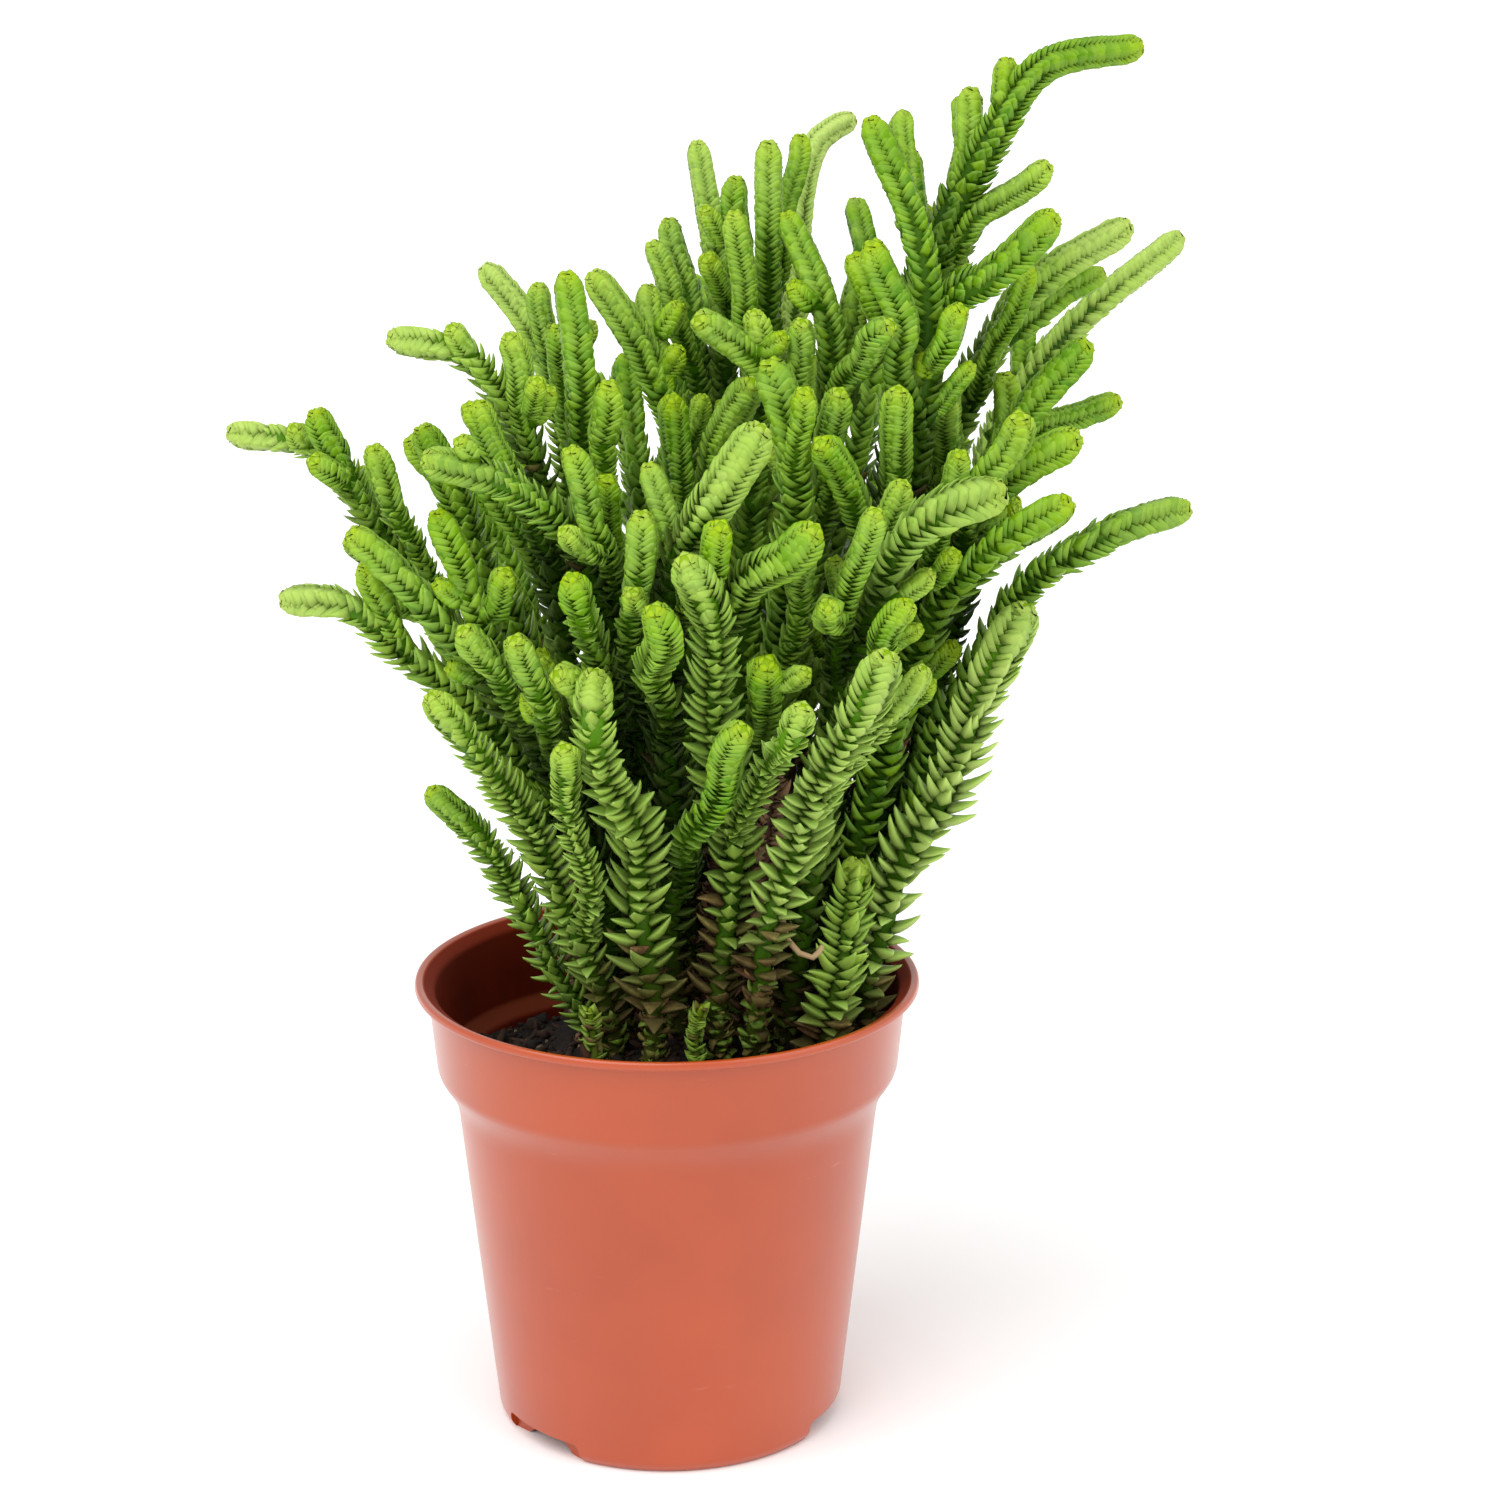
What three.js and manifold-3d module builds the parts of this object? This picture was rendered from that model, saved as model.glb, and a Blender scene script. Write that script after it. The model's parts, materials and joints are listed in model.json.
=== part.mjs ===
// A potted watch chain crassula: a thin plastic nursery pot filled with soil, and a bush of leafy
// stems whose small keeled leaves overlap in four ranks like the scales of a chain.
// Millimetres, +Z up. The origin is the middle of the pot's underside, where it meets the table.

import * as THREE from 'three';
import { mergeVertices } from 'three/addons/utils/BufferGeometryUtils.js';
import Module from 'manifold-3d';

const wasm = await Module();
wasm.setup();

// Driving dimensions of the pot

const POT_HEIGHT = 78;
const RIM_RADIUS = 42.5;
const LIP_THICKNESS = 1.7;
const LIP_INNER_RADIUS = 41.2;
const BAND_TOP_RADIUS = 40.2;
const BAND_FOOT_RADIUS = 38.9;
const BAND_FOOT_HEIGHT = 62.4;
const BODY_TOP_RADIUS = 35.7;
const BODY_TOP_HEIGHT = 57.6;
const BASE_RADIUS = 29.3;
const WALL = 1.25;
const FOOT_RING_HEIGHT = 2.6;
const FLOOR_THICKNESS = 1.4;
const PAD_RADIUS = 8;
const POT_SIDES = 30;
const NOTCH_ANGLES = [-49, 71, 191];
const NOTCH_WIDTH = 18;
const NOTCH_HEIGHT = 3.4;
const DRAIN_RADIUS = 2.4;
const DRAIN_RING_RADIUS = 18;

// Driving dimensions of the soil

const SOIL_EDGE_HEIGHT = 60.6;
const SOIL_MOUND = 5.4;
const SOIL_MOUND_RADIUS = 30;
const SOIL_GAP = 0.3;
const SOIL_SIDES = 18;
const HOLE_DEPTH = 9;
const HOLE_RADIUS = 2.6;
const HOLE_SIDES = 4;

// Driving dimensions of the stems and their leaves

const FOOT_DEPTH = 7;
const FOOT_RADIUS = 1.5;
const LEAF_STEP_AT_TIP = 1.36;
const LEAF_STEP_IN_OPEN = 1.25;
const LEAF_STEP_IN_SHADE = 3.1;
const FINGER_LENGTH = 34;
const LEAF_LEAN = 0.85;
const CORE_SHARE_AT_TIP = 0.72;
const CORE_SHARE_BELOW = 0.5;
const SUNK_SHARE = 1;
const BARE_STEP = 14;
const TIP_ROUNDING = 4;
const SAMPLE_STEP = 4;
const STEM_GAP = 0.7;
const CLEAR_RADIUS = BAND_FOOT_RADIUS - WALL - 0.6;
const RELAX_ROUNDS = 110;

// The clump stands a little to the right of the pot's axis and behind it

const CLUMP = new THREE.Vector2(9, 8);

// The stems are laid out as they look from the front, from an eye that looks down on the pot a
// little. The picture plane is square to that look and passes through the middle of the rim.

const EYE = new THREE.Vector3(0, -600, 290.8);
const SIGHT_PITCH = THREE.MathUtils.degToRad(16.15);
const SIGHT_YAW = THREE.MathUtils.degToRad(1.33);
const RIM_CENTRE = new THREE.Vector3(0, 0, POT_HEIGHT);

// A limb is [where on the first limb it starts, low radius, tip radius, points, shoots].
// A point is [across, rise, depth]: across and rise in the picture plane from the middle of the
// rim, depth along +Y, away from the eye. A shoot is [start, across, rise, depth, radius].

const STEMS = {
  stem_left_front: { foot: [-10, -2], bare: 0.16, open: true, limbs: [
    [0, 4.0, 2.5, [[-13, 7, -4], [-21.5, 25, -12], [-31, 37.5, -19], [-39.8, 47, -24]],
      [[0.3, -16.5, 40, -27, 2.3]]],
    [0.1, 3.4, 2.1, [[-23, 12, -3], [-31, 23, -8], [-40, 31, -11]], []],
  ] },
  stem_left_long: { foot: [-8, 6], bare: 0.12, limbs: [
    [0, 4.0, 2.6, [[-15, 21, 3], [-28, 39, -4], [-43, 54, -7], [-53, 63, -8], [-65, 63, -6]],
      [[0.79, -51, 69, -11, 2.2]]],
    [0.14, 3.9, 2.5, [[-20, 36, -10], [-28, 49, -15], [-42, 64, -17], [-53, 74, -18]],
      [[0.62, -38, 77, -20, 2.6], [0.5, -34, 57, -26, 2.4], [0.34, -27, 56, -27, 2.5]]],
  ] },
  stem_left_far: { foot: [-5, 13], bare: 0.13, limbs: [
    [0, 3.9, 2.4, [[-18, 36, 9], [-40, 64, 6], [-53, 80, 7], [-59, 88, 9], [-74, 91, 10]],
      [[0.9, -63, 92, 6, 2.0], [0.76, -59, 95, 3, 2.3], [0.63, -49, 89, 0, 2.3]]],
    [0.3, 4.2, 2.4, [[-26, 60, 9], [-32, 74, 9], [-37, 84, 9], [-41, 92, 8]], []],
  ] },
  stem_left_high: { foot: [-1, 7], bare: 0.13, limbs: [
    [0, 4.0, 2.5, [[-11, 29, 3], [-15, 49, -1], [-20, 70, -4], [-26, 93, -6], [-33, 104, -7],
      [-47, 107, -8]],
      [[0.9, -36, 109, -10, 2.0], [0.76, -28, 107, -10, 2.1], [0.64, -33, 96, -12, 2.2],
        [0.58, -35, 90, -2, 2.1]]],
    [0.16, 3.8, 2.5, [[-11, 59, -13], [-16, 74, -18], [-28, 83, -21], [-43, 86, -22]],
      [[0.55, -18, 87, -25, 2.4], [0.3, -19, 65, -31, 2.6], [0.16, -22, 48, -27, 2.6]]],
  ] },
  stem_left_back: { foot: [2, 20], bare: 0.17, limbs: [
    [0, 3.5, 2.2, [[-11, 54, 22], [-15.5, 80, 25], [-20.3, 102, 28], [-24.6, 110.5, 29],
      [-31, 119, 30]],
      [[0.74, -22, 116, 20, 2.0], [0.68, -19, 109, 14, 2.2], [0.55, -30, 96, 34, 2.3]]],
  ] },
  stem_centre_tall: { foot: [6, 10], bare: 0.17, limbs: [
    [0, 3.8, 2.5, [[-9, 54, 2], [-12, 80, -3], [-14, 100, -6], [-17, 118, -6]],
      [[0.68, -9, 99, -13, 2.5], [0.52, -10, 83, -15, 2.3]]],
    [0.3, 3.6, 2.4, [[1, 70, 8], [0, 88, 10], [-5, 100, 10], [-10, 109.5, 9], [-14.5, 117, 8]],
      [[0.72, -5, 115, 15, 2.0], [0.48, 13, 101, -7, 2.6], [0.4, -1, 96, -4, 2.3]]],
  ] },
  stem_front_left: { foot: [-4, -7], bare: 0.2, open: true, limbs: [
    [0, 5.2, 2.8, [[-4, 12, -10], [-5, 24, -15], [-10, 38, -23], [-12, 51, -29]], []],
  ] },
  stem_front_high: { foot: [3, 0], bare: 0.12, limbs: [
    [0, 4.3, 3.1, [[-2, 27, -9], [-3, 46, -15], [1, 63, -22], [7, 77, -28], [16, 92, -31]],
      [[0.26, 12, 41, -37, 2.7], [0.46, -5, 61, -39, 2.9], [0.5, -7, 77, -29, 2.6],
        [0.6, 22, 74, -37, 3.0], [0.68, 7, 74, -36, 2.4], [0.74, -4, 84, -22, 2.2]]],
  ] },
  stem_front_middle: { foot: [9, -6], bare: 0.18, open: true, limbs: [
    [0, 4.8, 3.0, [[9.5, 4, -8], [9.5, 21, -14], [10, 40, -22], [8, 58, -30], [3, 70, -35]],
      [[0.45, 22, 45, -40, 2.5]]],
  ] },
  stem_centre_right: { foot: [12, 4], bare: 0.13, limbs: [
    [0, 4.2, 3.3, [[16, 36, -2], [19, 54, -7], [21, 77, -13], [20, 93, -15], [17, 103, -16]],
      [[0.84, 23, 98, -20, 2.2], [0.36, 17, 52, -30, 2.8], [0.5, 24, 70, -26, 2.4]]],
  ] },
  stem_right_middle: { foot: [17, 10.5], bare: 0.17, limbs: [
    [0, 3.8, 2.3, [[22, 54, 7], [27, 86, 4], [27, 108, 3], [20, 128, 6]],
      [[0.74, 5, 110, -10, 2.6], [0.76, 38, 110, -12, 2.5], [0.58, 29, 98, -12, 2.4],
        [0.8, 34, 119, 14, 2.2]]],
  ] },
  stem_back_left: { foot: [8, 25], bare: 0.17, limbs: [
    [0, 3.6, 2.1, [[8, 63, 26], [9, 93, 26], [9, 118, 26], [5, 140, 28]],
      [[0.74, 11, 134, 18, 2.3], [0.7, 0, 127, 32, 2.2], [0.66, -3, 123, 20, 2.1]]],
  ] },
  stem_back_middle: { foot: [12, 17], bare: 0.17, limbs: [
    [0, 3.6, 2.3, [[13, 70, 15], [16, 110, 13], [17, 140, 10]],
      [[0.72, 11, 128, 3, 2.2], [0.78, 22, 141, 19, 1.9]]],
  ] },
  stem_back_right: { foot: [17, 25], bare: 0.17, limbs: [
    [0, 3.5, 1.9, [[20, 88, 32], [21, 112, 34], [22.5, 132, 36], [25.5, 140, 38], [31.5, 144, 40]],
      [[0.7, 14, 120, 42, 2.2], [0.56, 24, 100, 44, 2.3]]],
  ] },
  stem_right_tall: { foot: [24, 7], bare: 0.13, limbs: [
    [0, 4.3, 2.5, [[32, 46, 2], [39, 71, -2], [43, 96, -3], [42, 119, -2], [34, 144, 0]],
      [[0.88, 40, 145, 7, 1.9], [0.7, 32, 130, 14, 2.1], [0.68, 35, 123, -12, 2.6],
        [0.56, 40, 98, -15, 2.4], [0.52, 27, 89, -22, 2.5]]],
  ] },
  stem_right_highest: { foot: [22.3, 13.2], bare: 0.13, limbs: [
    [0, 3.9, 2.1, [[31, 36, 13], [38, 63, 11], [42, 92, 9], [45, 120, 8], [54, 140, 6], [63, 153, 5],
      [80, 156, 4]],
      [[0.78, 51, 149, 9, 2.3], [0.86, 57, 154, 7, 2.0], [0.72, 64, 136, 0, 2.3],
        [0.66, 41, 138, 13, 1.8], [0.6, 49, 118, 22, 2.2]]],
    [0.5, 3.4, 2.7, [[41.4, 100.5, 2], [46.8, 111, -2], [56.5, 118.5, -4], [67, 127.5, -6]], []],
  ] },
  stem_right_upper: { foot: [26.3, 16.2], bare: 0.12, limbs: [
    [0, 4.2, 2.5, [[43, 70, 18], [49.5, 91, 18], [61, 113, 18], [78, 126, 18]],
      [[0.82, 73, 118, 25, 2.2], [0.74, 61, 119, 11, 2.0], [0.56, 46, 98, -2, 2.6]]],
    [0.3, 3.6, 2.4, [[47, 66, 27], [57, 93, 33], [70, 112, 39], [86, 125, 44]],
      [[0.55, 76, 97, 27, 2.2], [0.66, 58, 112, 42, 2.3]]],
  ] },
  stem_right_outer: { foot: [28.4, 10.2], bare: 0.12, limbs: [
    [0, 3.9, 2.7, [[44, 56, 6], [53, 80, 4], [61, 95, 2], [71, 106, -1]],
      [[0.55, 55, 101, 11, 2.4]]],
    [0.3, 3.9, 2.9, [[43, 63, -5], [49, 76, -10], [56, 83, -13], [68, 90, -14]],
      [[0.55, 57, 93, -21, 2.7], [0.4, 48, 87, -18, 2.1]]],
  ] },
  stem_right_front: { foot: [20, -1], bare: 0.1, limbs: [
    [0, 4.3, 3.6, [[26, 36, -12], [31, 54, -19], [38, 70, -25], [46, 77, -28], [57, 81, -28]],
      [[0.5, 41, 62, -32, 2.2], [0.66, 39, 82, -22, 2.2], [0.6, 35, 77, -35, 2.3]]],
  ] },
  stem_right_wide: { foot: [24.5, 1.4], bare: 0.12, limbs: [
    [0, 4.1, 2.9, [[38, 39, -4], [46, 64, -10], [56, 73.5, -14], [68, 79.5, -16]], []],
    [0.16, 3.8, 2.7, [[41, 29, 5], [48.5, 44.5, 1], [53.5, 54, -1], [60.5, 64.8, -3],
      [71.5, 70.5, -4], [90, 77.6, -4]], []],
  ] },
  stem_right_edge: { foot: [29.9, 0.4], bare: 0.14, open: true, limbs: [
    [0, 5.2, 3.4, [[35, 16, -4], [44, 31, -9], [51.5, 49, -11], [60.5, 62, -11]], []],
  ] },
  stem_right_bright: { foot: [14.5, -6.5], bare: 0.27, open: true, limbs: [
    [0, 4.6, 3.4, [[15, 10, -13], [20, 20, -19], [25, 32, -26], [32, 43, -32], [37, 54, -35]],
      [[0.6, 43, 52, -26, 2.0]]],
  ] },
  stem_right_low: { foot: [26.5, -6], bare: 0.2, open: true, limbs: [
    [0, 4.2, 2.9, [[31, 4, -7], [32, 12, -8], [32, 19, -9]], []],
  ] },
};

// Stems on the far side of the clump, each leaning out along its own bearing

const BACK_STEMS = [
  { foot: [-3, 27], bearing: 107, reach: 26, top: 176 },
  { foot: [4, 29.8], bearing: 96, reach: 20, top: 182 },
  { foot: [11.5, 28.5], bearing: 74, reach: 24, top: 194 },
  { foot: [21.5, 22], bearing: 50, reach: 30, top: 182 },
  { foot: [-9, 20], bearing: 150, reach: 32, top: 156 },
  { foot: [-13, 12], bearing: 168, reach: 32, top: 144 },
  { foot: [17.5, 18.5], bearing: 34, reach: 44, top: 160 },
];
const BACK_SHOOTS = 4;
const BACK_SEED = 4127;

// Dead stems have lost their leaves and stand dry among the living ones

const DEAD_STEMS = {
  dead_stem_left: { foot: [-12.8, 2.6], limbs: [
    [0, 1.9, 1.3, [[-12, 7, 3], [-14, 22, 0], [-15, 34, -2]], []],
  ] },
  dead_stem_right: { foot: [14, -1.2], limbs: [
    [0, 3.0, 2.2, [[16, 5, -3], [16.5, 18, -8], [17.5, 35, -12]], []],
    [0.3, 1.1, 0.8, [[19.5, 8.5, -14], [18.8, 5, -15], [21.5, 2.3, -16], [25.5, 2, -16.5],
      [27, 4.5, -15.5]], []],
  ] },
};

const YOUNG_SHOOTS = {
  young_shoot_left: { foot: [-12, -9], limbs: [
    [0, 1.9, 1.4, [[-12, -11, -9], [-13, -6, -10]], []],
  ] },
  young_shoot_right: { foot: [5, -12], limbs: [
    [0, 1.9, 1.4, [[5, -11, -12], [6, -5.5, -13]], []],
  ] },
};

const COLOURS = {
  pot: 0xcc6749,
  soil: 0x1d1713,
  leaf: 0x5f9a2e,
  dead: 0x6b4c33,
};

// Random numbers from a seed, the same on every run

function seededRandom(seed) {
  let state = seed;
  return () => {
    state = (state * 16807) % 2147483647;
    return state / 2147483647;
  };
}

// Solids from closed geometry, and geometry from solids

function toSolid(geometry) {
  const bare = geometry.clone();
  bare.deleteAttribute('normal');
  bare.deleteAttribute('uv');
  const merged = mergeVertices(bare, 1e-4);
  return new wasm.Manifold(new wasm.Mesh({
    numProp: 3,
    vertProperties: new Float32Array(merged.attributes.position.array),
    triVerts: new Uint32Array(merged.index.array),
  }));
}

function toGeometry(solid) {
  const mesh = solid.getMesh();
  const geometry = new THREE.BufferGeometry();
  geometry.setAttribute('position', new THREE.BufferAttribute(new Float32Array(mesh.vertProperties), 3));
  geometry.setIndex(new THREE.BufferAttribute(new Uint32Array(mesh.triVerts), 1));
  geometry.computeVertexNormals();
  return geometry;
}

function makeMesh(name, geometry, color, roughness) {
  const mesh = new THREE.Mesh(geometry, new THREE.MeshStandardMaterial({ color, roughness, metalness: 0 }));
  mesh.name = name;
  return mesh;
}

// A lathe about +Z from a profile of [radius, height] pairs, outside going up

function turned(profile, sides) {
  const points = profile.map(([radius, height]) => new THREE.Vector2(radius, height));
  return new THREE.LatheGeometry(points, sides).rotateX(Math.PI / 2);
}

// The soil's surface heaps up round the clump and is uneven

function soilHeight(x, y) {
  const away = Math.hypot(x - CLUMP.x, y - CLUMP.y) / SOIL_MOUND_RADIUS;
  const heap = SOIL_MOUND * Math.max(0, 1 - away * away);
  const lumps = 0.5 * Math.sin(x * 0.31 + 1.3) * Math.cos(y * 0.27) + 0.35 * Math.sin(x * 0.11 - y * 0.47);
  return SOIL_EDGE_HEIGHT + heap + lumps;
}

// Pot: one thin shell with a flanged lip, a band, a step and a taper down to its foot ring

function bodyRadius(height) {
  return BASE_RADIUS + (BODY_TOP_RADIUS - BASE_RADIUS) * height / BODY_TOP_HEIGHT;
}

function makePot() {
  const floorTop = FOOT_RING_HEIGHT + FLOOR_THICKNESS;
  const ringInner = BASE_RADIUS - 2.6;
  const ledge = BAND_FOOT_HEIGHT + WALL;
  const geometry = turned([
    [0, 0],
    [PAD_RADIUS, 0],
    [PAD_RADIUS + 2, FOOT_RING_HEIGHT],
    [ringInner, FOOT_RING_HEIGHT],
    [ringInner + 0.6, 0],
    [BASE_RADIUS - 0.9, 0],
    [bodyRadius(1.4), 1.4],
    [BODY_TOP_RADIUS, BODY_TOP_HEIGHT],
    [BAND_FOOT_RADIUS - 0.4, BAND_FOOT_HEIGHT - 0.6],
    [BAND_FOOT_RADIUS, BAND_FOOT_HEIGHT + 0.4],
    [BAND_TOP_RADIUS, POT_HEIGHT - LIP_THICKNESS - 0.5],
    [RIM_RADIUS - 0.7, POT_HEIGHT - LIP_THICKNESS],
    [RIM_RADIUS, POT_HEIGHT - LIP_THICKNESS + 0.5],
    [RIM_RADIUS - 0.3, POT_HEIGHT],
    [LIP_INNER_RADIUS, POT_HEIGHT - 0.2],
    [BAND_TOP_RADIUS - WALL, POT_HEIGHT - LIP_THICKNESS],
    [BAND_FOOT_RADIUS - WALL, ledge],
    [bodyRadius(ledge - 2) - WALL, ledge - 2],
    [bodyRadius(floorTop) - WALL, floorTop],
    [PAD_RADIUS + 2.4, floorTop],
    [PAD_RADIUS + 0.4, FLOOR_THICKNESS],
    [0, FLOOR_THICKNESS],
  ], POT_SIDES);
  let pot = toSolid(geometry);
  for (const degrees of NOTCH_ANGLES) {
    const angle = THREE.MathUtils.degToRad(degrees - 90);
    const notch = new THREE.BoxGeometry(10, NOTCH_WIDTH, NOTCH_HEIGHT * 2);
    notch.translate(BASE_RADIUS + 2.4, 0, 0).rotateZ(angle);
    pot = pot.subtract(toSolid(notch));
    const drain = new THREE.CylinderGeometry(DRAIN_RADIUS, DRAIN_RADIUS, 12, 10).rotateX(Math.PI / 2);
    drain.translate(DRAIN_RING_RADIUS, 0, FOOT_RING_HEIGHT).rotateZ(angle);
    pot = pot.subtract(toSolid(drain));
  }
  return makeMesh('pot', toGeometry(pot), COLOURS.pot, 0.42);
}

// Soil: fills the pot to just under the step, with a plain hole for each stem

function makeSoil(feet) {
  const floorTop = FOOT_RING_HEIGHT + FLOOR_THICKNESS;
  const bottom = floorTop + SOIL_GAP;
  const top = SOIL_EDGE_HEIGHT - 1.6;
  const facetShare = Math.cos(Math.PI / POT_SIDES);
  const sideRadius = (height) => (bodyRadius(height) - WALL) * facetShare - SOIL_GAP;
  const edge = sideRadius(top);
  const surfaceRings = [0.8, 0.45];
  const profile = [
    [0, FLOOR_THICKNESS + SOIL_GAP],
    [PAD_RADIUS, FLOOR_THICKNESS + SOIL_GAP],
    [PAD_RADIUS + 2.2, bottom],
    [sideRadius(bottom), bottom],
    [edge, top],
    ...surfaceRings.map((share) => [edge * share, SOIL_EDGE_HEIGHT]),
    [0, SOIL_EDGE_HEIGHT],
  ];
  const geometry = turned(profile, SOIL_SIDES);
  const places = geometry.attributes.position;
  for (let i = 0; i < places.count; i += 1) {
    if (places.getZ(i) > SOIL_EDGE_HEIGHT - 1) {
      places.setZ(i, soilHeight(places.getX(i), places.getY(i)));
    }
  }
  let soil = toSolid(geometry);
  for (const [x, y] of feet) {
    const height = 2 * HOLE_DEPTH;
    const hole = new THREE.CylinderGeometry(HOLE_RADIUS, HOLE_RADIUS, height, HOLE_SIDES);
    hole.rotateX(Math.PI / 2).translate(x, y, soilHeight(x, y));
    soil = soil.subtract(toSolid(hole));
  }
  return makeMesh('soil', toGeometry(soil), COLOURS.soil, 0.95);
}

// A point of the plant from where it is seen and how far back it lies

function seen([across, rise, depth]) {
  const cosPitch = Math.cos(SIGHT_PITCH);
  const ahead = new THREE.Vector3(
    Math.sin(SIGHT_YAW) * cosPitch, Math.cos(SIGHT_YAW) * cosPitch, -Math.sin(SIGHT_PITCH));
  const right = new THREE.Vector3(Math.cos(SIGHT_YAW), -Math.sin(SIGHT_YAW), 0);
  const up = new THREE.Vector3().crossVectors(right, ahead);
  const ray = RIM_CENTRE.clone().addScaledVector(right, across).addScaledVector(up, rise).sub(EYE);
  return EYE.clone().addScaledVector(ray, (depth - EYE.y) / ray.y);
}

// The points of a smooth line, one every so many millimetres

function evenly(points, step) {
  const line = new THREE.CatmullRomCurve3(points).getPoints(16 * (points.length - 1));
  const along = [0];
  for (let i = 1; i < line.length; i += 1) {
    along.push(along[i - 1] + line[i].distanceTo(line[i - 1]));
  }
  const count = Math.max(2, Math.round(along.at(-1) / step));
  return Array.from({ length: count + 1 }, (_, i) => pointAlong(line, along, along.at(-1) * i / count));
}

function pointAlong(line, along, distance) {
  let i = 1;
  while (i < line.length - 1 && along[i] < distance) {
    i += 1;
  }
  const share = (distance - along[i - 1]) / (along[i] - along[i - 1]);
  return line[i - 1].clone().lerp(line[i], Math.min(1, Math.max(0, share)));
}

// Radius over the leaf tips at a distance from the limb's own tip

function reachAt(limb, fromTip) {
  const { low, tip, length } = limb;
  const rounded = Math.sqrt(Math.min(1, (fromTip + 0.6) / TIP_ROUNDING));
  const spread = Math.min(1, Math.max(0, fromTip - TIP_ROUNDING) / (0.7 * length));
  return rounded * (tip + (low - tip) * spread);
}

// Limbs of one stem: the first stands in the soil, the others start from one before them

function layLimbs(name, stem) {
  const [x, y] = stem.foot;
  const ground = soilHeight(x, y);
  const limbs = [];
  const add = (parent, at, low, tip, points, bare) => {
    const length = points.slice(1).reduce((sum, point, i) => sum + point.distanceTo(points[i]), 0);
    const rest = evenly(points, SAMPLE_STEP);
    const move = rest.map(() => new THREE.Vector3());
    limbs.push({ name, parent, at, low, tip, length, bare, open: stem.open, rest, move });
    return limbs.at(-1);
  };
  for (const [at, low, tip, points, shoots] of stem.limbs) {
    const places = points.map((point) => (Array.isArray(point) ? seen(point) : point));
    const start = limbs.length
      ? [startPoint(limbs[0], at)]
      : [new THREE.Vector3(x, y, ground - FOOT_DEPTH), new THREE.Vector3(x, y, ground + 1)];
    const limb = add(limbs.length ? limbs[0] : null, at, low, tip, [...start, ...places],
      limbs.length ? 0 : stem.bare ?? 0);
    for (const [from, across, rise, depth, radius] of shoots) {
      const root = startPoint(limb, from);
      const end = across.isVector3 ? across : seen([across, rise, depth]);
      add(limb, from, radius * 1.15, radius, [root, shootKnee(limb, from, root, end), end], 0);
    }
  }
  return limbs;
}

function startPoint(limb, at) {
  const place = at * (limb.rest.length - 1);
  const before = Math.min(Math.floor(place), limb.rest.length - 2);
  return limb.rest[before].clone().lerp(limb.rest[before + 1], place - before);
}

// A shoot leaves its parent at a slant and then turns towards its own tip

function shootKnee(limb, at, root, end) {
  const before = Math.min(Math.floor(at * (limb.rest.length - 1)), limb.rest.length - 2);
  const along = limb.rest[before + 1].clone().sub(limb.rest[before]).normalize();
  const reach = end.clone().sub(root);
  const length = reach.length();
  const slant = reach.normalize().multiplyScalar(1.3).add(along.multiplyScalar(0.45)).normalize();
  return root.clone().addScaledVector(slant, length * 0.45).lerp(root.clone().lerp(end, 0.45), 0.4);
}

// A far-side stem: it rises from its foot, leans out along its bearing and carries four shoots

function backStem({ foot: [x, y], bearing, reach, top }, random) {
  const angle = THREE.MathUtils.degToRad(bearing);
  const out = new THREE.Vector3(Math.cos(angle), Math.sin(angle), 0);
  const side = new THREE.Vector3(-out.y, out.x, 0);
  const ground = soilHeight(x, y);
  const rise = top - ground;
  const at = (share, lean, sway) => new THREE.Vector3(x, y, ground + rise * share)
    .addScaledVector(out, reach * lean).addScaledVector(side, sway);
  const sway = 8 * (random() - 0.5);
  const points = [at(0.35, 0.16, 0), at(0.7, 0.5, sway), at(1, 1, sway * 1.6)];
  const shoots = [];
  for (let i = 0; i < BACK_SHOOTS; i += 1) {
    const from = 0.42 + 0.13 * i + 0.05 * random();
    const hand = i % 2 ? 1 : -1;
    const away = at(from, from * from, sway).addScaledVector(side, hand * (11 + 7 * random()))
      .addScaledVector(out, 9 + 8 * random());
    away.z += 12 + 12 * random();
    shoots.push([from, away, 0, 0, 2.2 + 0.5 * random()]);
  }
  return { foot: [x, y], bare: 0.08, limbs: [[0, 4.1, 2.5, points, shoots]] };
}

// Limbs push one another apart, least at their roots, until the stems stand clear

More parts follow.
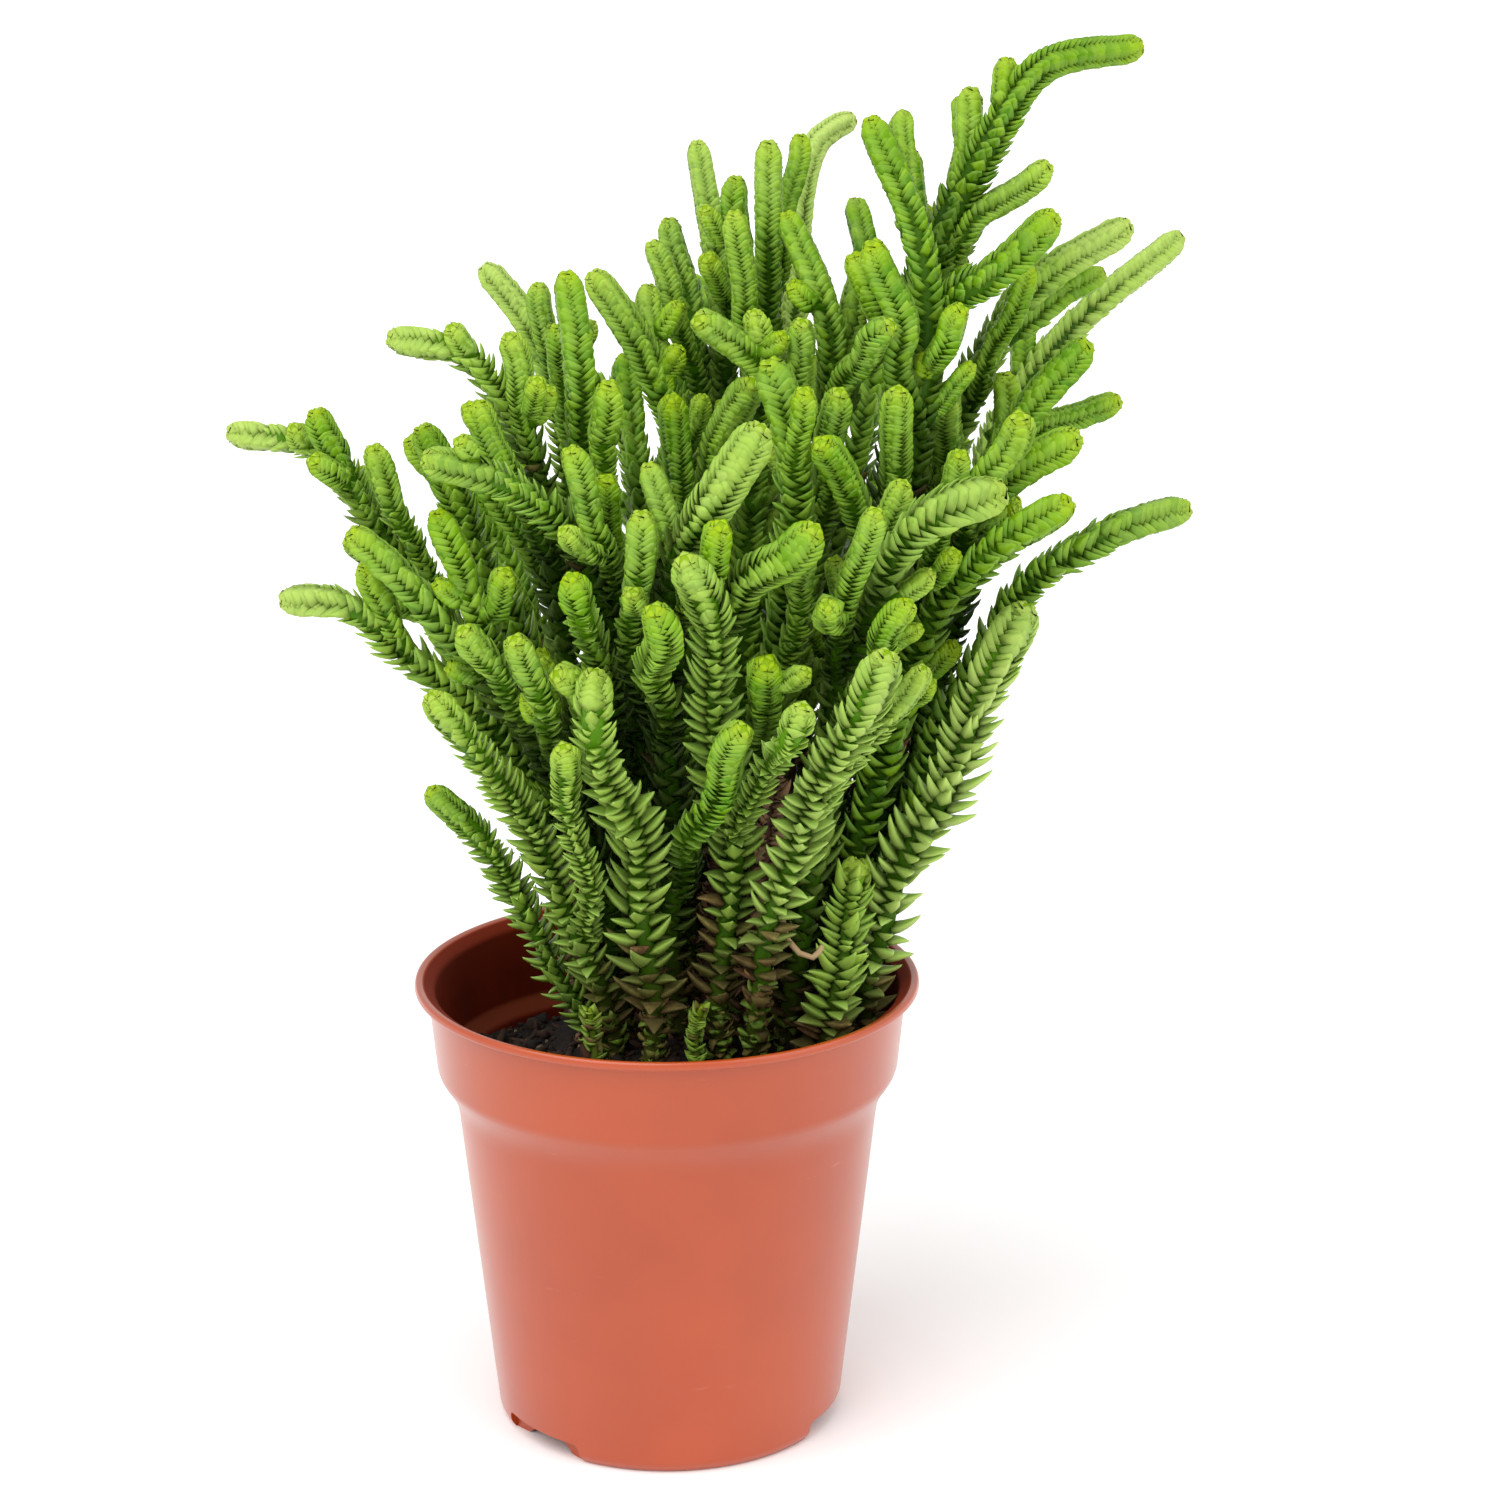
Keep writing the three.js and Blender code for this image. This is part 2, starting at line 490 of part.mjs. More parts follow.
function standClear(limbs) {
  const spots = [];
  limbs.forEach((limb, own) => {
    const last = limb.rest.length - 1;
    limb.rest.forEach((_, i) => {
      const fromTip = limb.length * (last - i) / last;
      const bare = i / last < limb.bare || (!limb.parent && i < 3);
      const radius = bare ? FOOT_RADIUS : reachAt(limb, fromTip);
      spots.push({ limb, own, i, radius, place: new THREE.Vector3(), push: new THREE.Vector3() });
    });
  });
  const apart = new THREE.Vector3();
  for (let round = 0; round < RELAX_ROUNDS; round += 1) {
    limbs.forEach(carryLimb);
    for (const spot of spots) {
      spot.place.copy(spot.limb.rest[spot.i]).add(spot.limb.carry).add(spot.limb.move[spot.i]);
      spot.push.set(0, 0, 0);
    }
    for (let a = 0; a < spots.length; a += 1) {
      for (let b = a + 1; b < spots.length; b += 1) {
        const one = spots[a];
        const two = spots[b];
        if (related(one, two)) {
          continue;
        }
        const need = one.radius + two.radius + STEM_GAP;
        apart.subVectors(one.place, two.place);
        const distance = apart.length();
        if (distance < need && distance > 1e-6) {
          apart.multiplyScalar((need - distance) / distance * 0.25);
          one.push.add(apart);
          two.push.sub(apart);
        }
      }
    }
    spots.forEach(stayInside);
    for (const spot of spots) {
      const held = spot.limb.parent ? spot.i : Math.max(0, spot.i - 2);
      spot.limb.move[spot.i].addScaledVector(spot.push, Math.min(1, held / 3));
    }
    limbs.forEach((limb) => smoothMove(limb, limb.parent ? 0 : 2));
  }
  limbs.forEach(carryLimb);
}

// Below the rim a limb stays clear of the pot's wall

function stayInside(spot) {
  const { place, radius, push } = spot;
  const away = Math.hypot(place.x, place.y);
  const over = away + radius - CLEAR_RADIUS;
  if (place.z < POT_HEIGHT + 3 && over > 0) {
    push.x -= place.x / away * over * 0.5;
    push.y -= place.y / away * over * 0.5;
  }
}

// Limbs of one stem only mind each other well away from where they join

function related(one, two) {
  if (one.own === two.own) {
    return true;
  }
  return one.limb.name === two.limb.name && (one.i < 4 || two.i < 4);
}

function carryLimb(limb) {
  limb.carry = new THREE.Vector3();
  if (limb.parent) {
    const { parent, at } = limb;
    const place = at * (parent.rest.length - 1);
    const before = Math.min(Math.floor(place), parent.rest.length - 2);
    limb.carry.copy(parent.move[before]).lerp(parent.move[before + 1], place - before).add(parent.carry);
  }
}

function smoothMove(limb, fixed) {
  const old = limb.move.map((move) => move.clone());
  for (let i = fixed + 1; i < old.length - 1; i += 1) {
    limb.move[i].multiplyScalar(0.8).addScaledVector(old[i - 1], 0.1).addScaledVector(old[i + 1], 0.1);
  }
}

// A leafy limb. Round each ring the four ranks take turns: two carry a leaf tip that points up
// and out, two lie on the core between leaves, and the next ring has them the other way round.

function leafyLimb(limb) {
  const line = limb.rest.map((point, i) => point.clone().add(limb.carry).add(limb.move[i]));
  const along = [0];
  for (let i = 1; i < line.length; i += 1) {
    along.push(along[i - 1] + line[i].distanceTo(line[i - 1]));
  }
  const total = along.at(-1);
  const leafyFrom = limb.parent
    ? reachAt(limb.parent, limb.parent.length * (1 - limb.at)) * SUNK_SHARE
    : Math.max(limb.bare * total, FOOT_DEPTH + 1.5);
  const distances = [...bareRings(limb, leafyFrom), ...leafRings(limb, total, leafyFrom)];
  const places = [];
  const faces = [];
  let side = null;
  let leaf = 0;
  const add = (point) => places.push(point.x, point.y, point.z) / 3 - 1;
  const start = add(line[0]);
  let before = null;
  for (const distance of distances) {
    const centre = pointAlong(line, along, distance);
    const ahead = pointAlong(line, along, Math.min(total, distance + 2))
      .sub(pointAlong(line, along, Math.max(0, distance - 2))).normalize();
    side ??= Math.abs(ahead.y) < 0.9 ? new THREE.Vector3(0, 1, 0) : new THREE.Vector3(1, 0, 0);
    side.addScaledVector(ahead, -side.dot(ahead)).normalize();
    const other = new THREE.Vector3().crossVectors(ahead, side);
    const leafy = distance > leafyFrom;
    const reach = reachAt(limb, total - distance);
    const core = leafy || limb.parent ? coreAt(limb, total - distance) : FOOT_RADIUS;
    const ring = [];
    for (let rank = 0; rank < 4; rank += 1) {
      const isTip = leafy && (rank + leaf) % 2 === 0;
      const out = rank % 2 ? other : side;
      const sign = rank < 2 ? 1 : -1;
      const point = centre.clone().addScaledVector(out, sign * (isTip ? reach : core));
      if (isTip) {
        point.addScaledVector(ahead, Math.min(reach * LEAF_LEAN, (total - distance) * 0.7));
      }
      ring.push(add(point));
    }
    for (let rank = 0; rank < 4; rank += 1) {
      const next = (rank + 1) % 4;
      if (!before) {
        faces.push(start, ring[next], ring[rank]);
      } else if (leafy && (rank + leaf) % 2 === 0) {
        faces.push(before[rank], before[next], ring[next], before[rank], ring[next], ring[rank]);
      } else {
        faces.push(before[rank], before[next], ring[rank], before[next], ring[next], ring[rank]);
      }
    }
    leaf += leafy ? 1 : 0;
    before = ring;
  }
  const tip = add(line.at(-1));
  for (let rank = 0; rank < 4; rank += 1) {
    faces.push(before[rank], before[(rank + 1) % 4], tip);
  }
  const geometry = new THREE.BufferGeometry();
  geometry.setAttribute('position', new THREE.Float32BufferAttribute(places, 3));
  geometry.setIndex(faces);
  return geometry;
}

// Rings of the bare foot and of the bare lower stem. A root sunk in a parent limb is one slim
// cone, from the middle of the parent out to the first leaves.

function bareRings(limb, leafyFrom) {
  if (limb.parent) {
    return [leafyFrom];
  }
  const steps = Math.max(1, Math.round((leafyFrom - FOOT_DEPTH) / BARE_STEP));
  const step = (leafyFrom - FOOT_DEPTH) / steps;
  return [0, FOOT_DEPTH, ...Array.from({ length: steps }, (_, i) => FOOT_DEPTH + step * (i + 1))];
}

// Leaf rings, closer together towards the tip, where the leaves are small

function leafRings(limb, total, leafyFrom) {
  const rings = [];
  const below = limb.open ? LEAF_STEP_IN_OPEN : LEAF_STEP_IN_SHADE;
  let fromTip = LEAF_STEP_AT_TIP * limb.tip * 0.8;
  while (fromTip < total - leafyFrom - limb.tip) {
    rings.unshift(total - fromTip);
    const share = Math.min(1, Math.max(0, fromTip / FINGER_LENGTH - 0.5));
    fromTip += reachAt(limb, fromTip) * THREE.MathUtils.lerp(LEAF_STEP_AT_TIP, below, share);
  }
  return rings;
}

function coreAt(limb, fromTip) {
  const share = Math.min(1, fromTip / FINGER_LENGTH);
  return reachAt(limb, fromTip) * THREE.MathUtils.lerp(CORE_SHARE_AT_TIP, CORE_SHARE_BELOW, share);
}

function makeStem(name, limbs, color) {
  let solid = null;
  for (const limb of limbs) {
    const part = toSolid(leafyLimb(limb));
    solid = solid ? solid.add(part) : part;
  }
  return makeMesh(name, toGeometry(solid), color, 0.55);
}

// The whole object

function makePlant() {
  const random = seededRandom(BACK_SEED);
  const stems = { ...STEMS, ...DEAD_STEMS, ...YOUNG_SHOOTS };
  BACK_STEMS.forEach((stem, i) => {
    stems[`stem_far_side_${i + 1}`] = backStem(stem, random);
  });
  const grown = Object.entries(stems).map(([name, stem]) => ({ name, limbs: layLimbs(name, stem) }));
  standClear(grown.flatMap(({ limbs }) => limbs));
  const plant = new THREE.Group();
  plant.add(makePot());
  plant.add(makeSoil(Object.values(stems).map(({ foot }) => foot)));
  for (const { name, limbs } of grown) {
    plant.add(makeStem(name, limbs, name in DEAD_STEMS ? COLOURS.dead : COLOURS.leaf));
  }
  return plant;
}

export default makePlant();
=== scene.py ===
"""A potted watch chain crassula with its finished surfaces: the turned plastic pot, the rough soil,
and every stem covered in its four ranks of small keeled leaves. Lengths are in millimetres until
a mesh is made, and the frame is +Z up with its origin under the middle of the pot."""

import json
import math
from types import SimpleNamespace

import bmesh
import bpy
import numpy as np
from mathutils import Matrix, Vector, noise

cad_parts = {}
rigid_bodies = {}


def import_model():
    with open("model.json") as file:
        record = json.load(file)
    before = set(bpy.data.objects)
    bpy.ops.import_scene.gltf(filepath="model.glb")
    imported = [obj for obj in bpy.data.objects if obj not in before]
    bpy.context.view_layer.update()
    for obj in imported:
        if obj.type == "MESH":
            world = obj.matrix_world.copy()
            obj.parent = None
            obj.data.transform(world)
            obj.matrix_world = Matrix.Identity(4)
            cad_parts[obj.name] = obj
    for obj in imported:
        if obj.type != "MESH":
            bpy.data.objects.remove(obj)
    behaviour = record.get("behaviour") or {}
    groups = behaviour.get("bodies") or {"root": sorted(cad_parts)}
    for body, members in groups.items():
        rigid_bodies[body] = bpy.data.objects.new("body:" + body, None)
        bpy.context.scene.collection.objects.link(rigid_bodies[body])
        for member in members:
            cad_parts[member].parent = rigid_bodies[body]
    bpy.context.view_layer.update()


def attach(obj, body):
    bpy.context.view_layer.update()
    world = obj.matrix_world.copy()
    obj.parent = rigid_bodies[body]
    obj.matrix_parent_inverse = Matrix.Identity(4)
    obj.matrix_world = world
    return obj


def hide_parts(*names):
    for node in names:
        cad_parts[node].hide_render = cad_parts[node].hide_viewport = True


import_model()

MM = 0.001

# Sizes of the pot, and angles in degrees

POT_HEIGHT = 78
RIM_RADIUS = 42.5
LIP_THICKNESS = 1.7
LIP_INNER_RADIUS = 41.2
BAND_TOP_RADIUS = 40.2
BAND_FOOT_RADIUS = 38.9
BAND_FOOT_HEIGHT = 62.4
BODY_TOP_RADIUS = 35.7
BODY_TOP_HEIGHT = 57.6
BASE_RADIUS = 29.3
WALL = 1.25
FOOT_RING_HEIGHT = 2.6
FOOT_RING_WIDTH = 2.6
FLOOR_THICKNESS = 1.4
FLOOR_TOP = FOOT_RING_HEIGHT + FLOOR_THICKNESS
PAD_RADIUS = 8
POT_SIDES = 180
NOTCH_ANGLES = (-49, 71, 191)
NOTCH_WIDTH = 18
NOTCH_HEIGHT = 3.4
NOTCH_CORNER = 1.2
NOTCH_DEPTH = 10
DRAIN_RADIUS = 2.4
DRAIN_RING_RADIUS = 18
DRAIN_LENGTH = 12
DRAIN_BELOW = 4
SHARP_FROM = 40

# Sizes of the soil

SOIL_EDGE_HEIGHT = 60.6
SOIL_MOUND = 5.4
SOIL_MOUND_RADIUS = 30
SOIL_GAP = 0.15
SOIL_RINGS = 54
SOIL_SIDES = 150
SOIL_SIDE_RINGS = 6
CRUMB_GAP = 0.8
LUMP_RISE = 0.3

# The soil's clods: how high they are, how close together, and a seed
CLODS = [(1.3, 0.16, 3), (0.7, 0.42, 11), (0.35, 1.1, 29)]

# Sizes of the stems and their leaves

FOOT_DEPTH = 7
FOOT_RADIUS = 1.5
TIP_ROUNDING = 4
SAMPLE_STEP = 4
STEM_GAP = 0.7
CLEAR_RADIUS = BAND_FOOT_RADIUS - WALL - 0.6
RELAX_ROUNDS = 110
ROUNDS_TO_LOOK_AGAIN = 10
NEAR_SLACK = 12
PAIR_STEP_AT_TIP = 0.17
PAIR_STEP_BELOW = (0.13, 0.28)
PAIR_STEP_IN_OPEN = 0.27
FILLING_SHARE = 0.35
FILLING_LENGTH = (22, 52)
FULLNESS = 1.07
CLOSED_LENGTH = (2, 6)
OPENING_LENGTH = (12, 26)
YOUNG_LENGTH = (2.2, 5.2)
CLOSED_LEAN = 0.95
OPEN_LEAN = 0.74
OPEN_LEAN_IN_OPEN = 0.58
LEAN_SCATTER = 0.17
REACH_SCATTER = (-0.14, 0.1)
WIDTH_SCATTER = (0.88, 1.08)
DEAD_LEAF_WIDTH = 0.45
WANDER = 0.55
BUDS_IN_GAPS = 90
BUD_CLEARANCE = (4.2, 13)
BUD_COMPANY = 15
BUD_NEIGHBOURS = 11
PICKED_BUD_RADIUS = 2.0
OLD_TWIGS = 16
TWIG_CLEARANCE = 3.4
SCRAP_STEP = 0.45
TWIG_SCRAP_STEP = 1.3
CROWD_REACH = 9
CROWD_LIGHT = 3
CROWD_DARK = 11.5
CORE_STEP = 3.2
CLOSED_UP_TO = 0.25
SMALL_LEAVES_UP_TO = 0.6
CORE_SIDES = 8
USUAL_SPREAD = 0.8

CLUMP = np.array([9.0, 8.0])

# Seeds of all that is random. STEM_SEED is for the first stem, and the next ones count on.

BACK_SEED = 4127
CRUMB_SEED = 77
BUD_SEED = 501
TWIG_SEED = 911
STEM_SEED = 1000

# The eye that the stems are laid out for, and the lens that shows the picture plane as it was seen

EYE = np.array([0, -600, 290.8])
SIGHT_PITCH = math.radians(16.15)
SIGHT_YAW = math.radians(1.33)
RIM_CENTRE = np.array([0.0, 0.0, POT_HEIGHT])
SENSOR = 36
LENS = 90.6

# The stage, in metres and degrees

CLIP = (0.05, 60)
FLOOR_HALF = 20
SUN_WIDTH = 60
SKY_LIGHT = 0.8

# A limb is [where on the first limb it starts, low radius, tip radius, points, shoots].
# A point is (across, rise, depth): across and rise in the picture plane from the middle of the
# rim, depth along +Y. A shoot is [start, point at its tip, radius]. The leaves of a stem spread
# from 0, where they lie close, to 1 and more. Its tones say how pale a limb is at its tip and
# further down, by its number on the stem with the shoots counted. That paleness is partly the
# limb's own tone and partly painted highlight. Tips that bend up into the light are painted paler,
# and so are stems on the right, where less of the key light falls. 0 is a deep green.

STEMS = {
    "stem_left_front": dict(foot=(-10, -2), bare=0.16, open=True, spread=1.1,
        tones={0: (0.35, 0.45), 1: (0.3, 0.5), 2: (0.15, 0.3)}, limbs=[
        [0, 4.0, 2.5, [(-13, 7, -4), (-21.5, 25, -12), (-31, 37.5, -19), (-39.8, 47, -24)],
         [[0.3, (-16.5, 40, -27), 2.3]]],
        [0.1, 3.4, 2.1, [(-23, 12, -3), (-31, 23, -8), (-40, 31, -11)], []]]),
    "stem_left_long": dict(foot=(-8, 6), bare=0.12, spread=1,
        tones={0: (0.7, 0.25), 1: (0.1, 0.1), 2: (0.15, 0.15)}, limbs=[
        [0, 4.0, 2.6, [(-15, 21, 3), (-28, 39, -4), (-43, 54, -7), (-53, 63, -8), (-65, 63, -6)],
         [[0.79, (-51, 69, -11), 2.2]]],
        [0.14, 3.9, 2.5, [(-20, 36, -10), (-28, 49, -15), (-42, 64, -17), (-53, 74, -18)],
         [[0.62, (-38, 77, -20), 2.6], [0.5, (-34, 57, -26), 2.4], [0.34, (-27, 56, -27), 2.5]]]]),
    "stem_left_far": dict(foot=(-5, 13), bare=0.13, spread=1,
        tones={0: (0.75, 0.25), 1: (0.3, 0.1)}, limbs=[
        [0, 3.9, 2.4, [(-18, 36, 9), (-40, 64, 6), (-53, 80, 7), (-59, 88, 9), (-74, 91, 10)],
         [[0.9, (-63, 92, 6), 2.0], [0.76, (-59, 95, 3), 2.3], [0.63, (-49, 89, 0), 2.3]]],
        [0.3, 4.2, 2.4, [(-26, 60, 9), (-32, 74, 9), (-37, 84, 9), (-41, 92, 8)], []]]),
    "stem_left_high": dict(foot=(-1, 7), bare=0.13, spread=0.95,
        tones={0: (0.6, 0.25), 5: (0.3, 0.15)}, limbs=[
        [0, 4.0, 2.5, [(-11, 29, 3), (-15, 49, -1), (-20, 70, -4), (-26, 93, -6), (-33, 104, -7),
                       (-47, 107, -8)],
         [[0.9, (-36, 109, -10), 2.0], [0.76, (-28, 107, -10), 2.1], [0.64, (-33, 96, -12), 2.2],
          [0.58, (-35, 90, -2), 2.1]]],
        [0.16, 3.8, 2.5, [(-11, 59, -13), (-16, 74, -18), (-28, 83, -21), (-43, 86, -22)],
         [[0.55, (-18, 87, -25), 2.4], [0.3, (-19, 65, -31), 2.6], [0.16, (-22, 48, -27), 2.6]]]]),
    "stem_left_back": dict(foot=(2, 20), bare=0.17, spread=0.55, tones={0: (0.7, 0.35)}, limbs=[
        [0, 3.5, 2.2, [(-11, 54, 22), (-15.5, 80, 25), (-20.3, 102, 28), (-24.6, 110.5, 29),
                       (-31, 119, 30)],
         [[0.74, (-22, 116, 20), 2.0], [0.68, (-19, 109, 14), 2.2], [0.55, (-30, 96, 34), 2.3]]]]),
    "stem_centre_tall": dict(foot=(6, 10), bare=0.17, spread=0.5,
        tones={0: (0.05, 0.1), 3: (0.3, 0.1)}, limbs=[
        [0, 3.8, 2.5, [(-9, 54, 2), (-12, 80, -3), (-14, 100, -6), (-17, 118, -6)],
         [[0.68, (-9, 99, -13), 2.5], [0.52, (-10, 83, -15), 2.3]]],
        [0.3, 3.6, 2.4, [(1, 70, 8), (0, 88, 10), (-5, 100, 10), (-10, 109.5, 9), (-14.5, 117, 8)],
         [[0.72, (-5, 115, 15), 2.0], [0.48, (13, 101, -7), 2.6], [0.4, (-1, 96, -4), 2.3]]]]),
    "stem_front_left": dict(foot=(-4, -7), bare=0.2, open=True, spread=1.15,
        tones={0: (0.45, 0.55)}, limbs=[
        [0, 5.2, 2.8, [(-4, 12, -10), (-5, 24, -15), (-10, 38, -23), (-12, 51, -29)], []]]),
    "stem_front_high": dict(foot=(3, 0), bare=0.12, spread=0.75,
        tones={0: (0.45, 0.5), 1: (0.15, 0), 2: (0.1, 0.2), 4: (0.1, 0.25)}, limbs=[
        [0, 4.3, 3.1, [(-2, 27, -9), (-3, 46, -15), (1, 63, -22), (7, 77, -28), (16, 92, -31)],
         [[0.26, (12, 41, -37), 2.7], [0.46, (-5, 61, -39), 2.9], [0.5, (-7, 77, -29), 2.6],
          [0.6, (22, 74, -37), 3.0], [0.68, (7, 74, -36), 2.4], [0.74, (-4, 84, -22), 2.2]]]]),
    "stem_front_middle": dict(foot=(9, -6), bare=0.18, open=True, spread=1.15,
        tones={0: (0.4, 0.45), 1: (0.4, 0.45)}, limbs=[
        [0, 4.8, 3.0, [(9.5, 4, -8), (9.5, 21, -14), (10, 40, -22), (8, 58, -30), (3, 70, -35)],
         [[0.45, (22, 45, -40), 2.5]]]]),
    "stem_centre_right": dict(foot=(12, 4), bare=0.13, limbs=[
        [0, 4.2, 3.3, [(16, 36, -2), (19, 54, -7), (21, 77, -13), (20, 93, -15), (17, 103, -16)],
         [[0.84, (23, 98, -20), 2.2], [0.36, (17, 52, -30), 2.8], [0.5, (24, 70, -26), 2.4]]]]),
    "stem_right_middle": dict(foot=(17, 10.5), bare=0.17, spread=0.5, tones={0: (0.1, 0.15)}, limbs=[
        [0, 3.8, 2.3, [(22, 54, 7), (27, 86, 4), (27, 108, 3), (20, 128, 6)],
         [[0.74, (5, 110, -10), 2.6], [0.76, (38, 110, -12), 2.5], [0.58, (29, 98, -12), 2.4],
          [0.8, (34, 119, 14), 2.2]]]]),
    "stem_back_left": dict(foot=(8, 25), bare=0.17, spread=0.4, tones={0: (0.5, 0.35)}, limbs=[
        [0, 3.6, 2.1, [(8, 63, 26), (9, 93, 26), (9, 118, 26), (5, 140, 28)],
         [[0.74, (11, 134, 18), 2.3], [0.7, (0, 127, 32), 2.2], [0.66, (-3, 123, 20), 2.1]]]]),
    "stem_back_middle": dict(foot=(12, 17), bare=0.17, spread=0.4, limbs=[
        [0, 3.6, 2.3, [(13, 70, 15), (16, 110, 13), (17, 140, 10)],
         [[0.72, (11, 128, 3), 2.2], [0.78, (22, 141, 19), 1.9]]]]),
    "stem_back_right": dict(foot=(17, 25), bare=0.17, spread=0.3, tones={0: (1, 0.8)}, limbs=[
        [0, 3.5, 1.9, [(20, 88, 32), (21, 112, 34), (22.5, 132, 36), (25.5, 140, 38), (31.5, 144, 40)],
         [[0.7, (14, 120, 42), 2.2], [0.56, (24, 100, 44), 2.3]]]]),
    "stem_right_tall": dict(foot=(24, 7), bare=0.13, spread=0.4, tones={0: (0, 0)}, limbs=[
        [0, 4.3, 2.5, [(32, 46, 2), (39, 71, -2), (43, 96, -3), (42, 119, -2), (34, 144, 0)],
         [[0.88, (40, 145, 7), 1.9], [0.7, (32, 130, 14), 2.1], [0.68, (35, 123, -12), 2.6],
          [0.56, (40, 98, -15), 2.4], [0.52, (27, 89, -22), 2.5]]]]),
    "stem_right_highest": dict(foot=(22.3, 13.2), bare=0.13, spread=0.4,
        tones={0: (0.05, 0), 6: (0.05, 0)}, limbs=[
        [0, 3.9, 2.1, [(31, 36, 13), (38, 63, 11), (42, 92, 9), (45, 120, 8), (54, 140, 6),
                       (63, 153, 5), (80, 156, 4)],
         [[0.78, (51, 149, 9), 2.3], [0.86, (57, 154, 7), 2.0], [0.72, (64, 136, 0), 2.3],
          [0.66, (41, 138, 13), 1.8], [0.6, (49, 118, 22), 2.2]]],
        [0.5, 3.4, 2.7, [(41.4, 100.5, 2), (46.8, 111, -2), (56.5, 118.5, -4), (67, 127.5, -6)], []]]),
    "stem_right_upper": dict(foot=(26.3, 16.2), bare=0.12, spread=0.45,
        tones={0: (0.75, 0.3), 4: (0.7, 0.6)}, limbs=[
        [0, 4.2, 2.5, [(43, 70, 18), (49.5, 91, 18), (61, 113, 18), (78, 126, 18)],
         [[0.82, (73, 118, 25), 2.2], [0.74, (61, 119, 11), 2.0], [0.56, (46, 98, -2), 2.6]]],
        [0.3, 3.6, 2.4, [(47, 66, 27), (57, 93, 33), (70, 112, 39), (86, 125, 44)],
         [[0.55, (76, 97, 27), 2.2], [0.66, (58, 112, 42), 2.3]]]]),
    "stem_right_outer": dict(foot=(28.4, 10.2), bare=0.12, spread=0.45,
        tones={0: (0, 0), 2: (0.05, 0)}, limbs=[
        [0, 3.9, 2.7, [(44, 56, 6), (53, 80, 4), (61, 95, 2), (71, 106, -1)],
         [[0.55, (55, 101, 11), 2.4]]],
        [0.3, 3.9, 2.9, [(43, 63, -5), (49, 76, -10), (56, 83, -13), (68, 90, -14)],
         [[0.55, (57, 93, -21), 2.7], [0.4, (48, 87, -18), 2.1]]]]),
    "stem_right_front": dict(foot=(20, -1), bare=0.1, tones={0: (0.45, 0.4)}, limbs=[
        [0, 4.3, 3.6, [(26, 36, -12), (31, 54, -19), (38, 70, -25), (46, 77, -28), (57, 81, -28)],
         [[0.5, (41, 62, -32), 2.2], [0.66, (39, 82, -22), 2.2], [0.6, (35, 77, -35), 2.3]]]]),
    "stem_right_wide": dict(foot=(24.5, 1.4), bare=0.12, spread=0.75,
        tones={0: (0.05, 0), 1: (0.25, 0.1)}, limbs=[
        [0, 4.1, 2.9, [(38, 39, -4), (46, 64, -10), (56, 73.5, -14), (68, 79.5, -16)], []],
        [0.16, 3.8, 2.7, [(41, 29, 5), (48.5, 44.5, 1), (53.5, 54, -1), (60.5, 64.8, -3),
                          (71.5, 70.5, -4), (90, 77.6, -4)], []]]),
    "stem_right_edge": dict(foot=(29.9, 0.4), bare=0.14, open=True, spread=1.1,
        tones={0: (0.6, 0.85)}, limbs=[
        [0, 5.2, 3.4, [(35, 16, -4), (44, 31, -9), (51.5, 49, -11), (60.5, 62, -11)], []]]),
    "stem_right_bright": dict(foot=(14.5, -6.5), bare=0.27, open=True, spread=1.15,
        tones={0: (0.5, 0.75), 1: (0.4, 0.6)}, limbs=[
        [0, 4.6, 3.4, [(15, 10, -13), (20, 20, -19), (25, 32, -26), (32, 43, -32), (37, 54, -35)],
         [[0.6, (43, 52, -26), 2.0]]]]),
    "stem_right_low": dict(foot=(26.5, -6), bare=0.2, open=True, spread=1.6,
        tones={0: (0.35, 0.45)}, limbs=[
        [0, 4.2, 2.9, [(31, 4, -7), (32, 12, -8), (32, 19, -9)], []]]),
}

# Stems on the far side of the clump, each leaning out along its own bearing

BACK_STEMS = [
    dict(foot=(-3, 27), bearing=107, reach=26, top=176),
    dict(foot=(4, 29.8), bearing=96, reach=20, top=182),
    dict(foot=(11.5, 28.5), bearing=74, reach=24, top=194),
    dict(foot=(21.5, 22), bearing=50, reach=30, top=182),
    dict(foot=(-9, 20), bearing=150, reach=32, top=156),
    dict(foot=(-13, 12), bearing=168, reach=32, top=144),
    dict(foot=(17.5, 18.5), bearing=34, reach=44, top=160),
]
BACK_SHOOTS = 4

DEAD_STEMS = {
    "dead_stem_left": dict(foot=(-12.8, 2.6), limbs=[
        [0, 1.9, 1.3, [(-12, 7, 3), (-14, 22, 0), (-15, 34, -2)], []]]),
    "dead_stem_right": dict(foot=(14, -1.2), limbs=[
        [0, 3.0, 2.2, [(16, 5, -3), (16.5, 18, -8), (17.5, 35, -12)], []],
        [0.3, 1.1, 0.8, [(19.5, 8.5, -14), (18.8, 5, -15), (21.5, 2.3, -16), (25.5, 2, -16.5),
                         (27, 4.5, -15.5)], []]]),
}

YOUNG_SHOOTS = {
    "young_shoot_left": dict(foot=(-12, -9), limbs=[
        [0, 1.9, 1.4, [(-12, -11, -9), (-13, -6, -10)], []]]),
    "young_shoot_right": dict(foot=(5, -12), limbs=[
        [0, 1.9, 1.4, [(5, -11, -12), (6, -5.5, -13)], []]]),
}

# Tips of small buds (across, rise), each on the limb that passes below it

BUDS = [
    (-39.1, 65.7), (-34.2, 56.1), (-13.4, 53.6), (-20.6, 47.7), (-24.0, 46.8), (2.1, 112.8),
    (-19.6, 98.4), (-9.3, 97.7), (-33.7, 95.8), (-35.2, 89.9), (2.1, 105.4), (-1.1, 101.5),
    (19.8, 107.4), (20.7, 115.9), (47.6, 107.9), (43.4, 104.6), (61.1, 118.4),
]


